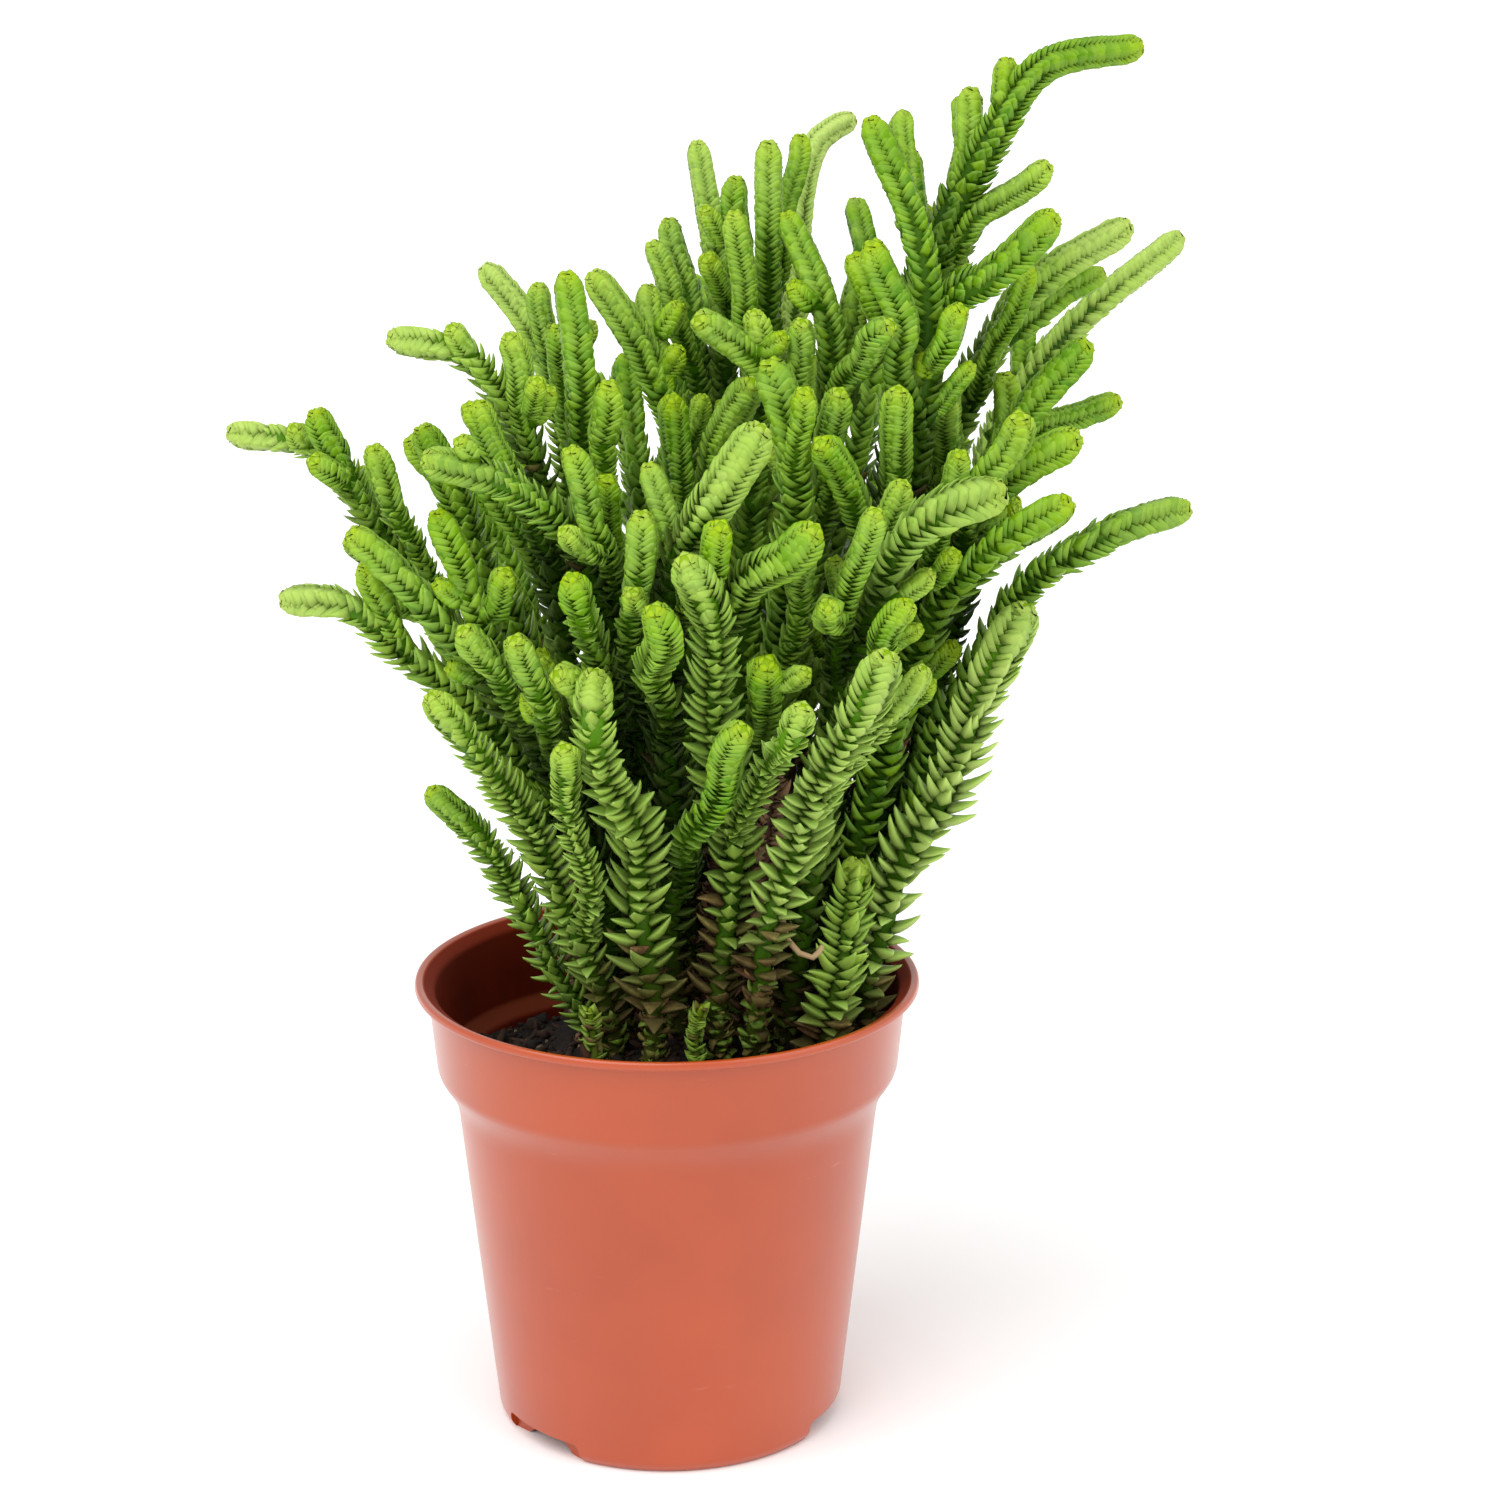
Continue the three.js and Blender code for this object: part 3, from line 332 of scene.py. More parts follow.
def seeded_random(seed):
    """A source of numbers from 0 to 1, the same on every run."""
    state = seed
    while True:
        state = state * 16807 % 2147483647
        yield state / 2147483647


def lerp(a, b, share):
    return a + (b - a) * share


def unit(vectors):
    return vectors / np.linalg.norm(vectors, axis=-1, keepdims=True)


def smoothstep(low, high, values):
    share = np.clip((values - low) / (high - low), 0, 1)
    return share * share * (3 - 2 * share)


def soil_height(x, y):
    away = np.hypot(x - CLUMP[0], y - CLUMP[1]) / SOIL_MOUND_RADIUS
    heap = SOIL_MOUND * np.maximum(0, 1 - away * away)
    lumps = 0.5 * np.sin(x * 0.31 + 1.3) * np.cos(y * 0.27) + 0.35 * np.sin(x * 0.11 - y * 0.47)
    return SOIL_EDGE_HEIGHT + heap + lumps


def body_radius(height):
    return BASE_RADIUS + (BODY_TOP_RADIUS - BASE_RADIUS) * height / BODY_TOP_HEIGHT


def inner_radius(height, gap=0):
    """The inside of the pot's body, and how far it is to something that keeps a gap from it."""
    return body_radius(height) - WALL - gap


# Where things are, from where they are seen

def sight_axes():
    ahead = np.array([
        math.sin(SIGHT_YAW) * math.cos(SIGHT_PITCH),
        math.cos(SIGHT_YAW) * math.cos(SIGHT_PITCH),
        -math.sin(SIGHT_PITCH)])
    right = np.array([math.cos(SIGHT_YAW), -math.sin(SIGHT_YAW), 0])
    return ahead, right, np.cross(right, ahead)


def seen(point):
    """A point (across, rise, depth) of the picture, or a place in space as it is."""
    if isinstance(point, np.ndarray):
        return point
    across, rise, depth = point
    _, right, up = sight_axes()
    ray = RIM_CENTRE + right * across + up * rise - EYE
    return EYE + ray * (depth - EYE[1]) / ray[1]


# Smooth lines through points

def curve_through(points, per_span):
    """A centripetal Catmull-Rom curve through the points."""
    points = np.asarray(points, float)
    padded = np.vstack([2 * points[0] - points[1], points, 2 * points[-1] - points[-2]])
    share = (np.arange(per_span) / per_span)[:, None]
    spans = []
    for a, b, c, d in zip(padded, padded[1:], padded[2:], padded[3:]):
        before, middle, after = (math.sqrt(np.linalg.norm(q - p)) for p, q in ((a, b), (b, c), (c, d)))
        leave = ((b - a) / before - (c - a) / (before + middle) + (c - b) / middle) * middle
        arrive = ((c - b) / middle - (d - b) / (middle + after) + (d - c) / after) * middle
        square = -3 * b + 3 * c - 2 * leave - arrive
        cube = 2 * b - 2 * c + leave + arrive
        spans.append(b + leave * share + square * share ** 2 + cube * share ** 3)
    return np.vstack([*spans, points[-1:]])


def lengths_along(line):
    return np.concatenate([[0], np.cumsum(np.linalg.norm(np.diff(line, axis=0), axis=1))])


def at_lengths(line, along, lengths):
    return np.stack([np.interp(lengths, along, line[:, axis]) for axis in range(3)], axis=-1)


def evenly(points, step):
    line = curve_through(points, 16)
    along = lengths_along(line)
    count = max(2, int(along[-1] / step + 0.5))
    return at_lengths(line, along, np.linspace(0, along[-1], count + 1))


# Limbs as they are laid out, before they push one another apart

def part_before(line, at):
    """The number of the last point of an even line before a share of its length."""
    return min(int(at * (len(line) - 1)), len(line) - 2)


def start_point(limb, at):
    before = part_before(limb.rest, at)
    return lerp(limb.rest[before], limb.rest[before + 1], at * (len(limb.rest) - 1) - before)


def shoot_knee(limb, at, root, end):
    """A shoot leaves its parent at a slant and then turns towards its own tip."""
    before = part_before(limb.rest, at)
    along = unit(limb.rest[before + 1] - limb.rest[before])
    reach = end - root
    slant = unit(unit(reach) * 1.3 + along * 0.45)
    return lerp(root + slant * np.linalg.norm(reach) * 0.45, lerp(root, end, 0.45), 0.4)


def new_limb(**facts):
    """A limb as most are, apart from these facts."""
    usual = dict(parent=None, at=0, bare=0, open=False, spread=1, tones=None)
    return SimpleNamespace(**{**usual, **facts})


def lay_limbs(name, stem):
    """The limbs of a stem. Its first stands in the soil, and the others start from one before."""
    x, y = stem["foot"]
    ground = soil_height(x, y)
    limbs = []

    def add(parent, at, low, tip, points):
        limb = new_limb(
            name=name, parent=parent, at=at, low=low, tip=tip, rest=evenly(points, SAMPLE_STEP),
            length=lengths_along(np.array(points))[-1], bare=0 if limbs else stem.get("bare", 0),
            open=stem.get("open", False), spread=stem.get("spread", USUAL_SPREAD),
            tones=stem.get("tones", {}).get(len(limbs)))
        limbs.append(limb)
        return limb

    for at, low, tip, points, shoots in stem["limbs"]:
        start = [np.array([x, y, ground - FOOT_DEPTH]), np.array([x, y, ground + 1])]
        if limbs:
            start = [start_point(limbs[0], at)]
        places = [seen(point) for point in points]
        limb = add(limbs[0] if limbs else None, at, low, tip, start + places)
        for begin, point, radius in shoots:
            root = start_point(limb, begin)
            end = seen(point)
            knee = shoot_knee(limb, begin, root, end)
            add(limb, begin, radius * 1.15, radius, [root, knee, end])
    return limbs


def back_stem(stem, random):
    """A far-side stem rises from its foot, leans out along its bearing and carries shoots."""
    x, y = stem["foot"]
    angle = math.radians(stem["bearing"])
    out = np.array([math.cos(angle), math.sin(angle), 0])
    side = np.array([-out[1], out[0], 0])
    ground = soil_height(x, y)
    rise = stem["top"] - ground

    def at(share, lean, sway):
        foot = np.array([x, y, ground + rise * share])
        return foot + out * stem["reach"] * lean + side * sway

    sway = 8 * (next(random) - 0.5)
    points = [at(0.35, 0.16, 0), at(0.7, 0.5, sway), at(1, 1, sway * 1.6)]
    shoots = []
    for i in range(BACK_SHOOTS):
        begin = 0.42 + 0.13 * i + 0.05 * next(random)
        hand = 1 if i % 2 else -1
        away = at(begin, begin * begin, sway) + side * hand * (11 + 7 * next(random))
        away = away + out * (9 + 8 * next(random))
        away[2] += 12 + 12 * next(random)
        shoots.append([begin, away, 2.2 + 0.5 * next(random)])
    return dict(foot=(x, y), bare=0.08, limbs=[[0, 4.1, 2.5, points, shoots]])


def full_radius(limb, from_tip):
    """Radius over the leaf tips, without the rounding of the limb's own tip."""
    spread = np.clip((from_tip - TIP_ROUNDING) / (0.7 * limb.length), 0, 1)
    return limb.tip + (limb.low - limb.tip) * spread


def reach_at(limb, from_tip):
    return np.sqrt(np.minimum(1, (from_tip + 0.6) / TIP_ROUNDING)) * full_radius(limb, from_tip)


def leafy_reach(limb, from_tip):
    """How far the leaves reach: a blunt tip, and full leaves within a short way below it."""
    filling = np.clip(FILLING_SHARE * limb.length, *FILLING_LENGTH)
    full = lerp(limb.tip, limb.low, np.clip((from_tip - TIP_ROUNDING) / filling, 0, 1))
    blunt = np.clip((from_tip + 0.3) / (1.3 * limb.tip), 0, 1)
    return FULLNESS * full * np.sqrt(blunt * (2 - blunt))


# Limbs push one another apart, least at their roots, until the stems stand clear

def stand_clear(limbs):
    for place, limb in enumerate(limbs):
        limb.place = place
    counts = np.array([len(limb.rest) for limb in limbs])
    own = np.repeat(np.arange(len(limbs)), counts)
    index = np.concatenate([np.arange(count) for count in counts])
    last = np.repeat(counts - 1, counts)
    names = sorted({limb.name for limb in limbs})
    stem = np.repeat([names.index(limb.name) for limb in limbs], counts)
    child = np.repeat([limb.parent is not None for limb in limbs], counts)
    rest = np.vstack([limb.rest for limb in limbs])
    radius = np.concatenate([spot_radii(limb) for limb in limbs])
    hold = np.minimum(1, np.where(child, index, np.maximum(0, index - 2)) / 3)
    free = (index > np.where(child, 0, 2)) & (index < last)
    move = np.zeros_like(rest)
    for step in range(RELAX_ROUNDS):
        place = rest + carries(limbs, move, counts)[own] + move
        if step % ROUNDS_TO_LOOK_AGAIN == 0:
            near = near_pairs(place, radius, own, stem, index)
        push = pair_push(place, radius, near) + wall_push(place, radius)
        move += push * hold[:, None]
        smooth = 0.8 * move + 0.1 * np.roll(move, 1, axis=0) + 0.1 * np.roll(move, -1, axis=0)
        move = np.where(free[:, None], smooth, move)
    place = rest + carries(limbs, move, counts)[own] + move
    shade = crowding(place, own)
    for limb, end in zip(limbs, np.cumsum(counts)):
        limb.line = place[end - len(limb.rest):end]
        limb.shade = shade[end - len(limb.rest):end]


def crowding(place, own):
    """How deep in the bush each spot is, from 0 in the open to 1 in the thick of other limbs. It is
    the painted shade of the leaves there, taken down by half high up, where more light falls.
    """
    crowd = np.zeros(len(place))
    for number in range(own.max() + 1):
        mine = own == number
        apart = ((place[mine][:, None] - place[None, ~mine]) ** 2).sum(axis=2)
        crowd[mine] = np.exp(-apart / CROWD_REACH ** 2).sum(axis=1)
    return smoothstep(CROWD_LIGHT, CROWD_DARK, crowd) * (1 - 0.5 * smoothstep(150, 200, place[:, 2]))


def spot_radii(limb):
    last = len(limb.rest) - 1
    index = np.arange(last + 1)
    bare = index / last < limb.bare
    if limb.parent is None:
        bare |= index < 3
    return np.where(bare, FOOT_RADIUS, reach_at(limb, limb.length * (last - index) / last))


def carries(limbs, move, counts):
    """How far each limb's root has moved with its parent."""
    starts = np.cumsum(counts) - counts
    carry = np.zeros((len(limbs), 3))
    for limb in limbs:
        if limb.parent is not None:
            parent = limb.parent.place
            place = limb.at * (counts[parent] - 1)
            before = min(int(place), counts[parent] - 2)
            first = starts[parent] + before
            carry[limb.place] = carry[parent] + lerp(move[first], move[first + 1], place - before)
    return carry


def near_pairs(place, radius, own, stem, index):
    """Pairs of spots that may touch within the next rounds, on limbs that mind each other."""
    first, second = np.triu_indices(len(place), 1)
    apart = np.abs(place[first] - place[second]).max(axis=1)
    near = apart < radius[first] + radius[second] + STEM_GAP + NEAR_SLACK
    first, second = first[near], second[near]
    joined = (stem[first] == stem[second]) & ((index[first] < 4) | (index[second] < 4))
    minded = (own[first] != own[second]) & ~joined
    return first[minded], second[minded]


def pair_push(place, radius, near):
    first, second = near
    apart = place[first] - place[second]
    distance = np.linalg.norm(apart, axis=1)
    need = radius[first] + radius[second] + STEM_GAP
    close = (distance < need) & (distance > 1e-6)
    share = (need[close] - distance[close]) / distance[close] * 0.25
    step = apart[close] * share[:, None]
    push = np.zeros_like(place)
    for axis in range(3):
        push[:, axis] += np.bincount(first[close], step[:, axis], len(place))
        push[:, axis] -= np.bincount(second[close], step[:, axis], len(place))
    return push


def wall_push(place, radius):
    """Below the rim a limb stays clear of the pot's wall."""
    away = np.hypot(place[:, 0], place[:, 1])
    over = np.where(place[:, 2] < POT_HEIGHT + 3, np.maximum(0, away + radius - CLEAR_RADIUS), 0)
    push = np.zeros_like(place)
    push[:, :2] = -place[:, :2] / np.maximum(away, 1e-6)[:, None] * over[:, None] * 0.5
    return push


# Shells: closed surfaces as points, faces and what each point is marked with

MARKS = ("youth", "pale", "dry", "vary", "shade", "tone")


def shell(points, faces, **marks):
    """faces is a list of arrays, each with one face a row, whatever its number of corners. A mark
    is one value for all points or an array that fits them. Those not given are 0."""
    values = [np.broadcast_to(marks.get(mark, 0), points.shape[:-1]) for mark in MARKS]
    return SimpleNamespace(
        points=points.reshape(-1, 3), faces=faces, marks=np.stack(values, -1).reshape(-1, len(MARKS)))


def joined(shells):
    offset = 0
    faces = []
    for part in shells:
        faces += [corners + offset for corners in part.faces]
        offset += len(part.points)
    return SimpleNamespace(
        points=np.vstack([part.points for part in shells]), faces=faces,
        marks=np.vstack([part.marks for part in shells]))


def copied(faces, count, points):
    """The faces of so many copies of a shell that has so many points."""
    offsets = (np.arange(count) * points)[:, None, None]
    return [(rows[None] + offsets).reshape(-1, rows.shape[1]) for rows in faces]


def add_object(name, data):
    thing = bpy.data.objects.new(name, data)
    bpy.context.scene.collection.objects.link(thing)
    return thing


def make_piece(name, part, *materials):
    """A mesh object of its own from a shell."""
    mesh = bpy.data.meshes.new(name)
    corners = np.concatenate([rows.ravel() for rows in part.faces]).astype(np.int32)
    sizes = np.concatenate([np.full(len(rows), rows.shape[1]) for rows in part.faces])
    mesh.vertices.add(len(part.points))
    mesh.vertices.foreach_set("co", (part.points * MM).astype(np.float32).ravel())
    mesh.loops.add(len(corners))
    mesh.loops.foreach_set("vertex_index", corners)
    mesh.polygons.add(len(sizes))
    mesh.polygons.foreach_set("loop_start", (np.cumsum(sizes) - sizes).astype(np.int32))
    mesh.update(calc_edges=True)
    mesh.polygons.foreach_set("use_smooth", np.ones(len(sizes), bool))
    for i, mark in enumerate(MARKS):
        values = np.ascontiguousarray(part.marks[:, i], np.float32)
        mesh.attributes.new(mark, "FLOAT", "POINT").data.foreach_set("value", values)
    for material in materials:
        mesh.materials.append(material)
    return add_object(name, mesh)


def finish_piece(piece, slot, *replaced):
    """Hides the solids that a piece stands in for, where there are any. The slot is not used."""
    if replaced:
        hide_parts(*replaced)
    return piece


def tube_faces(rings, sides):
    """Quads between the rings of a tube, and fans to the two points at its ends, which come last."""
    ring = np.arange(rings - 1)[:, None] * sides
    side = np.arange(sides)
    after = (side + 1) % sides
    quads = np.stack([ring + side, ring + after, ring + sides + after, ring + sides + side], -1)
    base, tip = np.full(sides, rings * sides), np.full(sides, rings * sides + 1)
    last = (rings - 1) * sides
    fans = [np.stack([base, after, side], -1), np.stack([tip, last + side, last + after], -1)]
    return [quads.reshape(-1, 4), np.vstack(fans)]


def swung(side, other, turn):
    """A direction that is turned towards another, which stands square to it."""
    return side * np.cos(turn) + other * np.sin(turn)


def turned_round(side, other, count, start=0):
    """Directions evenly round a line, from two that stand square to it and to each other."""
    return swung(side, other, start + np.arange(count)[:, None] / count * 2 * math.pi)


# Leaves. Across a leaf the outside runs from edge to edge over its keel, and the inside comes back.

def leaf_form(along, across, outside):
    """How finely a leaf is made: rings along it, and points across from 1 edge round to it again."""
    along, across = np.array(along), np.array(across)
    steps = [0, 0.3, 0.62, 0.86, 1]
    return SimpleNamespace(
        along=along, across=across, outside=np.array(outside, bool), sides=len(across),
        count=len(across) * len(along) + 2,
        young=np.interp(along, steps, [0.95, 1, 0.82, 0.44, 0]),
        old=np.interp(along, steps, [1, 0.86, 0.52, 0.22, 0]),
        thick=np.interp(along, steps, [1, 0.88, 0.6, 0.32, 0.1]))


CLOSED_LEAF = leaf_form([0, 0.5, 0.84], [-1, 0, 1], [1, 1, 1])
SMALL_LEAF = leaf_form([0, 0.4, 0.78], [-1, 0, 1], [1, 1, 1])
OPEN_LEAF = leaf_form([0, 0.32, 0.64, 0.87], [-1, 0, 1, 0], [1, 1, 1, 0])
LARGE_LEAF = leaf_form([0, 0.22, 0.46, 0.7, 0.88], [-1, -0.55, 0, 0.55, 1, 0.5, -0.5],
                       [1, 1, 1, 1, 1, 0, 0])


def leaves_shell(leaves, form):
    """All the leaves at once. Each has a centre, the directions out, ahead and across, a reach,
    how far out its knee and tip stand, how far it has opened, and its marks."""
    count = len(leaves.reach)
    opened = leaves.opened[:, None]
    reach = leaves.reach[:, None]
    base = np.stack([reach * lerp(0.6, 0.24, opened), 0 * reach], -1)
    knee = np.stack([leaves.knee_out[:, None], reach * lerp(0.3, 0.14, opened)], -1)
    tip = np.stack([leaves.tip_out[:, None], reach * leaves.lean[:, None]], -1)
    along = np.append(form.along, 1)[None, :, None]
    rib = base * (1 - along) ** 2 + 2 * knee * along * (1 - along) + tip * along ** 2
    slope = unit(2 * (knee - base) * (1 - along) + 2 * (tip - knee) * along)
    outside = np.stack([slope[..., 1], -slope[..., 0]], -1)

    outline = lerp(form.young, form.old, opened)
    half = reach * lerp(0.66, 0.47, opened) * outline * leaves.width[:, None]
    thick = reach * lerp(0.22, 0.25, opened) * form.thick
    cup = lerp(0.42, 0.14, opened)
    across = half[..., None] * form.across
    edge = np.abs(form.across)
    raised = np.where(form.outside, 1 - edge ** 1.3, -0.3 * (1 - edge ** 2))
    lift = thick[..., None] * raised - cup[..., None] * half[..., None] * edge ** 2

    rings = rib[:, :-1, None, :] + outside[:, :-1, None, :] * lift[..., None]
    around = form.count - 2
    flat = np.concatenate([rings.reshape(count, around, 2), rib[:, :1], rib[:, -1:]], axis=1)
    sideways = np.concatenate([across.reshape(count, around), np.zeros((count, 2))], axis=1)
    points = (leaves.centre[:, None] + leaves.out[:, None] * flat[..., :1]
              + leaves.ahead[:, None] * flat[..., 1:] + leaves.across[:, None] * sideways[..., None])

    # Pale margins and upper faces, paler towards the tip: partly the leaf's own paler margin and upper
    # face, partly painted highlight on the upper faces, which turn up to the light.
    paleness = np.where(form.outside, edge ** 3, 0.8 + 0.2 * edge)
    pale = np.append((paleness[None] * (0.4 + 0.6 * form.along[:, None])).ravel(), [0.1, 0.8])
    # Painted shade at each leaf's base, in the crease where it meets the stem; it fades towards the
    # tip.
    painted_base_shade = np.append(np.repeat(1 - form.along, form.sides), [1, 0]) ** lerp(1, 1.9, opened)
    return shell(
        points, copied(tube_faces(len(form.along), form.sides), count, form.count),
        youth=leaves.youth[:, None], pale=pale * lerp(0.5, 0.8, opened), dry=leaves.dry[:, None],
        vary=leaves.vary[:, None], tone=leaves.tone[:, None],
        shade=np.maximum(leaves.shade[:, None], painted_base_shade * lerp(0.36, 0.75, opened)))


def pair_distances(limb, total, leafy_from):
    """Distances from the tip of the pairs of leaves, a share of the radius apart."""
    distances = []
    below = PAIR_STEP_IN_OPEN if limb.open else lerp(*PAIR_STEP_BELOW, limb.spread)
    from_tip = 0.2 * limb.tip
    while from_tip < total - leafy_from:
        distances.append(from_tip)
        share = lerp(PAIR_STEP_AT_TIP, below, min(1, from_tip / 45))
        hidden = shade_at(limb, total, from_tip) if from_tip > 25 and not limb.open else 0
        from_tip += share * (1 + 0.7 * hidden) * full_radius(limb, from_tip)
    return np.array(distances)


def shade_at(limb, total, from_tip):
    return np.interp(total - from_tip, np.linspace(0, total, len(limb.shade)), limb.shade)


def frames_along(line, along, distances, start=0, twist=0):
    """Centre, direction ahead and a side direction at each distance, in rising order."""
    total = along[-1]
    centre = at_lengths(line, along, distances)
    ahead = unit(at_lengths(line, along, np.minimum(total, distances + 1.5))
                 - at_lengths(line, along, np.maximum(0, distances - 1.5)))
    side = np.array([0.0, 1, 0]) if abs(ahead[0][1]) < 0.9 else np.array([1.0, 0, 0])
    sides = []
    for direction in ahead:
        side = unit(side - direction * side.dot(direction))
        sides.append(side)
    turn = (start + twist * distances / total)[:, None]
    return centre, ahead, swung(np.array(sides), np.cross(ahead, sides), turn)


def leafy_start(limb, total):
    if limb.parent is not None:
        return 0.6 * reach_at(limb.parent, limb.parent.length * (1 - limb.at))
    return max(limb.bare * total, FOOT_DEPTH + 1.5)


def some(leaves, chosen):
    """The leaves that are chosen, with all that is known of each."""
    return SimpleNamespace(**{name: values[chosen] for name, values in vars(leaves).items()})


def leaf_places(limb, rng):
    """Where the leaves stand: two to a pair, each pair a quarter turn from the last. On a limb that
    starts from another, no leaf counts as near the foot."""
    line = curve_through(limb.line, 6)
    along = lengths_along(line)
    total = along[-1]
    leafy_from = leafy_start(limb, total)
    from_tip = pair_distances(limb, total, leafy_from)[::-1]
    start = rng.uniform(-0.2, 0.2) if limb.open else rng.uniform(0.35, 1.2)
    twist = rng.uniform(-0.15, 0.15) if limb.open else rng.uniform(-0.5, 0.5)
    centre, ahead, side = frames_along(line, along, total - from_tip, start, twist)
    turned = (np.arange(len(from_tip)) % 2 == 1)[:, None]
    out = np.where(turned, np.cross(ahead, side), side)
    out = np.concatenate([out, -out])
    ahead, from_tip = np.tile(ahead, (2, 1)), np.tile(from_tip, 2)
    return SimpleNamespace(
        centre=np.tile(centre, (2, 1)), out=out, ahead=ahead, across=np.cross(ahead, out),
        from_tip=from_tip, shade=shade_at(limb, total, from_tip),
        above_foot=np.where(limb.parent is None, total - from_tip - leafy_from, np.inf))


def open_leaves(leaves, limb, rng):
    """The leaves lie close at the tip, and open further down. There they are also small where
    the stem's leaves hardly spread, and as pale as its tones say, which is partly painted highlight."""
    count = len(leaves.from_tip)
    stretch = lerp(2.2, 1, limb.spread)
    closed = rng.uniform(*CLOSED_LENGTH) * min(1, stretch)
    opening = rng.uniform(*OPENING_LENGTH) * stretch
    opened = smoothstep(closed, opening, leaves.from_tip + rng.uniform(-2, 2, count))
    leaves.opened = opened * min(1, lerp(0.4, 1, limb.spread))
    leaves.small = smoothstep(5, 22, leaves.from_tip) * (1 - min(1, limb.spread))
    usual = (rng.uniform(0, 0.3), 0.12)
    leaves.tone = lerp(*(limb.tones or usual), smoothstep(6, 18, leaves.from_tip))
    leaves.tone = leaves.tone + rng.uniform(-0.08, 0.08, count)


def bend_leaves(leaves, limb, rng):
    """How far each leaf reaches and leans ahead, and how far out its knee and its tip then stand."""
    from_tip, opened, count = leaves.from_tip, leaves.opened, len(leaves.from_tip)
    swing = rng.normal(0, 1, count)[:, None] * (0.04 + 0.19 * opened)[:, None]
    leaves.out, leaves.across = (swung(leaves.out, leaves.across, swing),
                                 swung(leaves.across, -leaves.out, swing))
    leaves.centre = leaves.centre + leaves.ahead * (rng.normal(0, 0.12, count) * opened)[:, None]
    reach = leafy_reach(limb, from_tip) * (1 + rng.uniform(*REACH_SCATTER, count) * (0.4 + opened))
    reach = reach * (1 + 0.6 * max(0, limb.spread - 1.1))
    sagging = 0.3 * (1 - smoothstep(4, 34, leaves.above_foot))
    lean = lerp(CLOSED_LEAN, (OPEN_LEAN_IN_OPEN if limb.open else OPEN_LEAN) - sagging, opened)
    lean = lean + rng.normal(0, LEAN_SCATTER, count) * (0.2 + opened)
    lean = lean * (1 - 0.25 * leaves.small)
    past_tip = 0.25 + (1.4 if limb.open else 0) * opened
    lean = np.minimum(lean, (from_tip + past_tip) / reach)
    leaves.reach, leaves.lean = reach, lean
    leaves.knee_out = leafy_reach(limb, np.maximum(from_tip - 0.3 * lean * reach, -0.26))
    leaves.tip_out = leafy_reach(limb, np.maximum(from_tip - lean * reach, -0.29))
    leaves.tip_out = leaves.tip_out * rng.uniform(0.97, 1.06, count)
    narrow = 0.72 if limb.open else 1 - 0.42 * leaves.small
    leaves.width = lerp(1.16, narrow, smoothstep(0, 0.35, opened))


def wither_leaves(leaves, limb, rng):
    """Leaves get painted shade in the thick of the bush and near the foot, and many near the foot have
    withered.
    """
    count = len(leaves.from_tip)
    near_foot = 1 - smoothstep(2, 22, leaves.above_foot)
    # Painted shade from the crowding, a third of it on open stems, and strong near the foot.
    shade = leaves.shade * smoothstep(8, 34, leaves.from_tip) * (0.3 if limb.open else 1)
    leaves.shade = np.maximum(shade, 0.8 * near_foot)
    withering = 0.3 * near_foot + 0.02 * leaves.shade * (leaves.from_tip > 30)
    dry = np.where(rng.random(count) < withering, rng.uniform(0.6, 1, count), 0)
    leaves.dry = np.maximum(dry, 0.8 * (1 - smoothstep(2, 14, leaves.above_foot)))


def crumple_leaves(leaves, rng):
    """The leaves left on a dead stem."""
    count = len(leaves.from_tip)
    leaves.dry = rng.uniform(0.75, 1, count)
    leaves.reach = leaves.reach * rng.uniform(0.9, 1.9, count)
    leaves.lean = rng.uniform(-0.4, 0.9, count)
    leaves.opened = rng.uniform(0.4, 1, count)
    leaves.width = np.full(count, DEAD_LEAF_WIDTH)


def fan_out_leaves(leaves, rng):
    """The few wide leaves of a young shoot at the soil."""
    count = len(leaves.from_tip)
    leaves.opened = np.full(count, 0.9)
    leaves.reach = leaves.reach * 1.4
    leaves.lean = np.minimum(rng.uniform(0.3, 0.8, count), (leaves.from_tip + 0.6) / leaves.reach)
    leaves.dry = np.where(rng.random(count) < 0.3, rng.uniform(0.4, 1, count), 0.1)
    # Painted shade, as the young shoots sit low under the bush.
    leaves.shade = np.full(count, 0.25)


def limb_leaves(limb, rng, dead=False):
    """The leaves of one limb, those that lie close and those that have opened."""
    leaves = leaf_places(limb, rng)
    count = len(leaves.from_tip)
    open_leaves(leaves, limb, rng)
    bend_leaves(leaves, limb, rng)
    wither_leaves(leaves, limb, rng)
    if dead:
        crumple_leaves(leaves, rng)
    tint = rng.uniform(-0.16, 0.16)
    if limb.name in YOUNG_SHOOTS:
        fan_out_leaves(leaves, rng)
    leaves.knee_out = lerp(leaves.knee_out, 0.62 * leaves.reach, leaves.opened)
    leaves.tip_out = lerp(leaves.tip_out, leaves.reach, leaves.opened)
    leaves.width = leaves.width * rng.uniform(*WIDTH_SCATTER, count)
    leaves.youth = np.exp(-leaves.from_tip / rng.uniform(*YOUNG_LENGTH)) * (0 if dead else 1)
    # The tone, partly painted highlight, also lifts vary towards the lighter green.
    uneven = rng.uniform(-0.45, 0.45, count) * lerp(0.6, 1, leaves.opened)
    leaves.vary = np.clip(0.4 + tint + 0.7 * leaves.tone + uneven, 0, 1)
    leaves.tone = np.clip(leaves.tone, 0, 1)
    if limb.name in YOUNG_SHOOTS:
        leaves = some(leaves, rng.random(count) < 0.5)
    closed = leaves.opened < CLOSED_UP_TO
    form = OPEN_LEAF if limb.spread > SMALL_LEAVES_UP_TO else SMALL_LEAF
    if limb.open:
        form = LARGE_LEAF
    return [leaves_shell(some(leaves, closed), CLOSED_LEAF), leaves_shell(some(leaves, ~closed), form)]


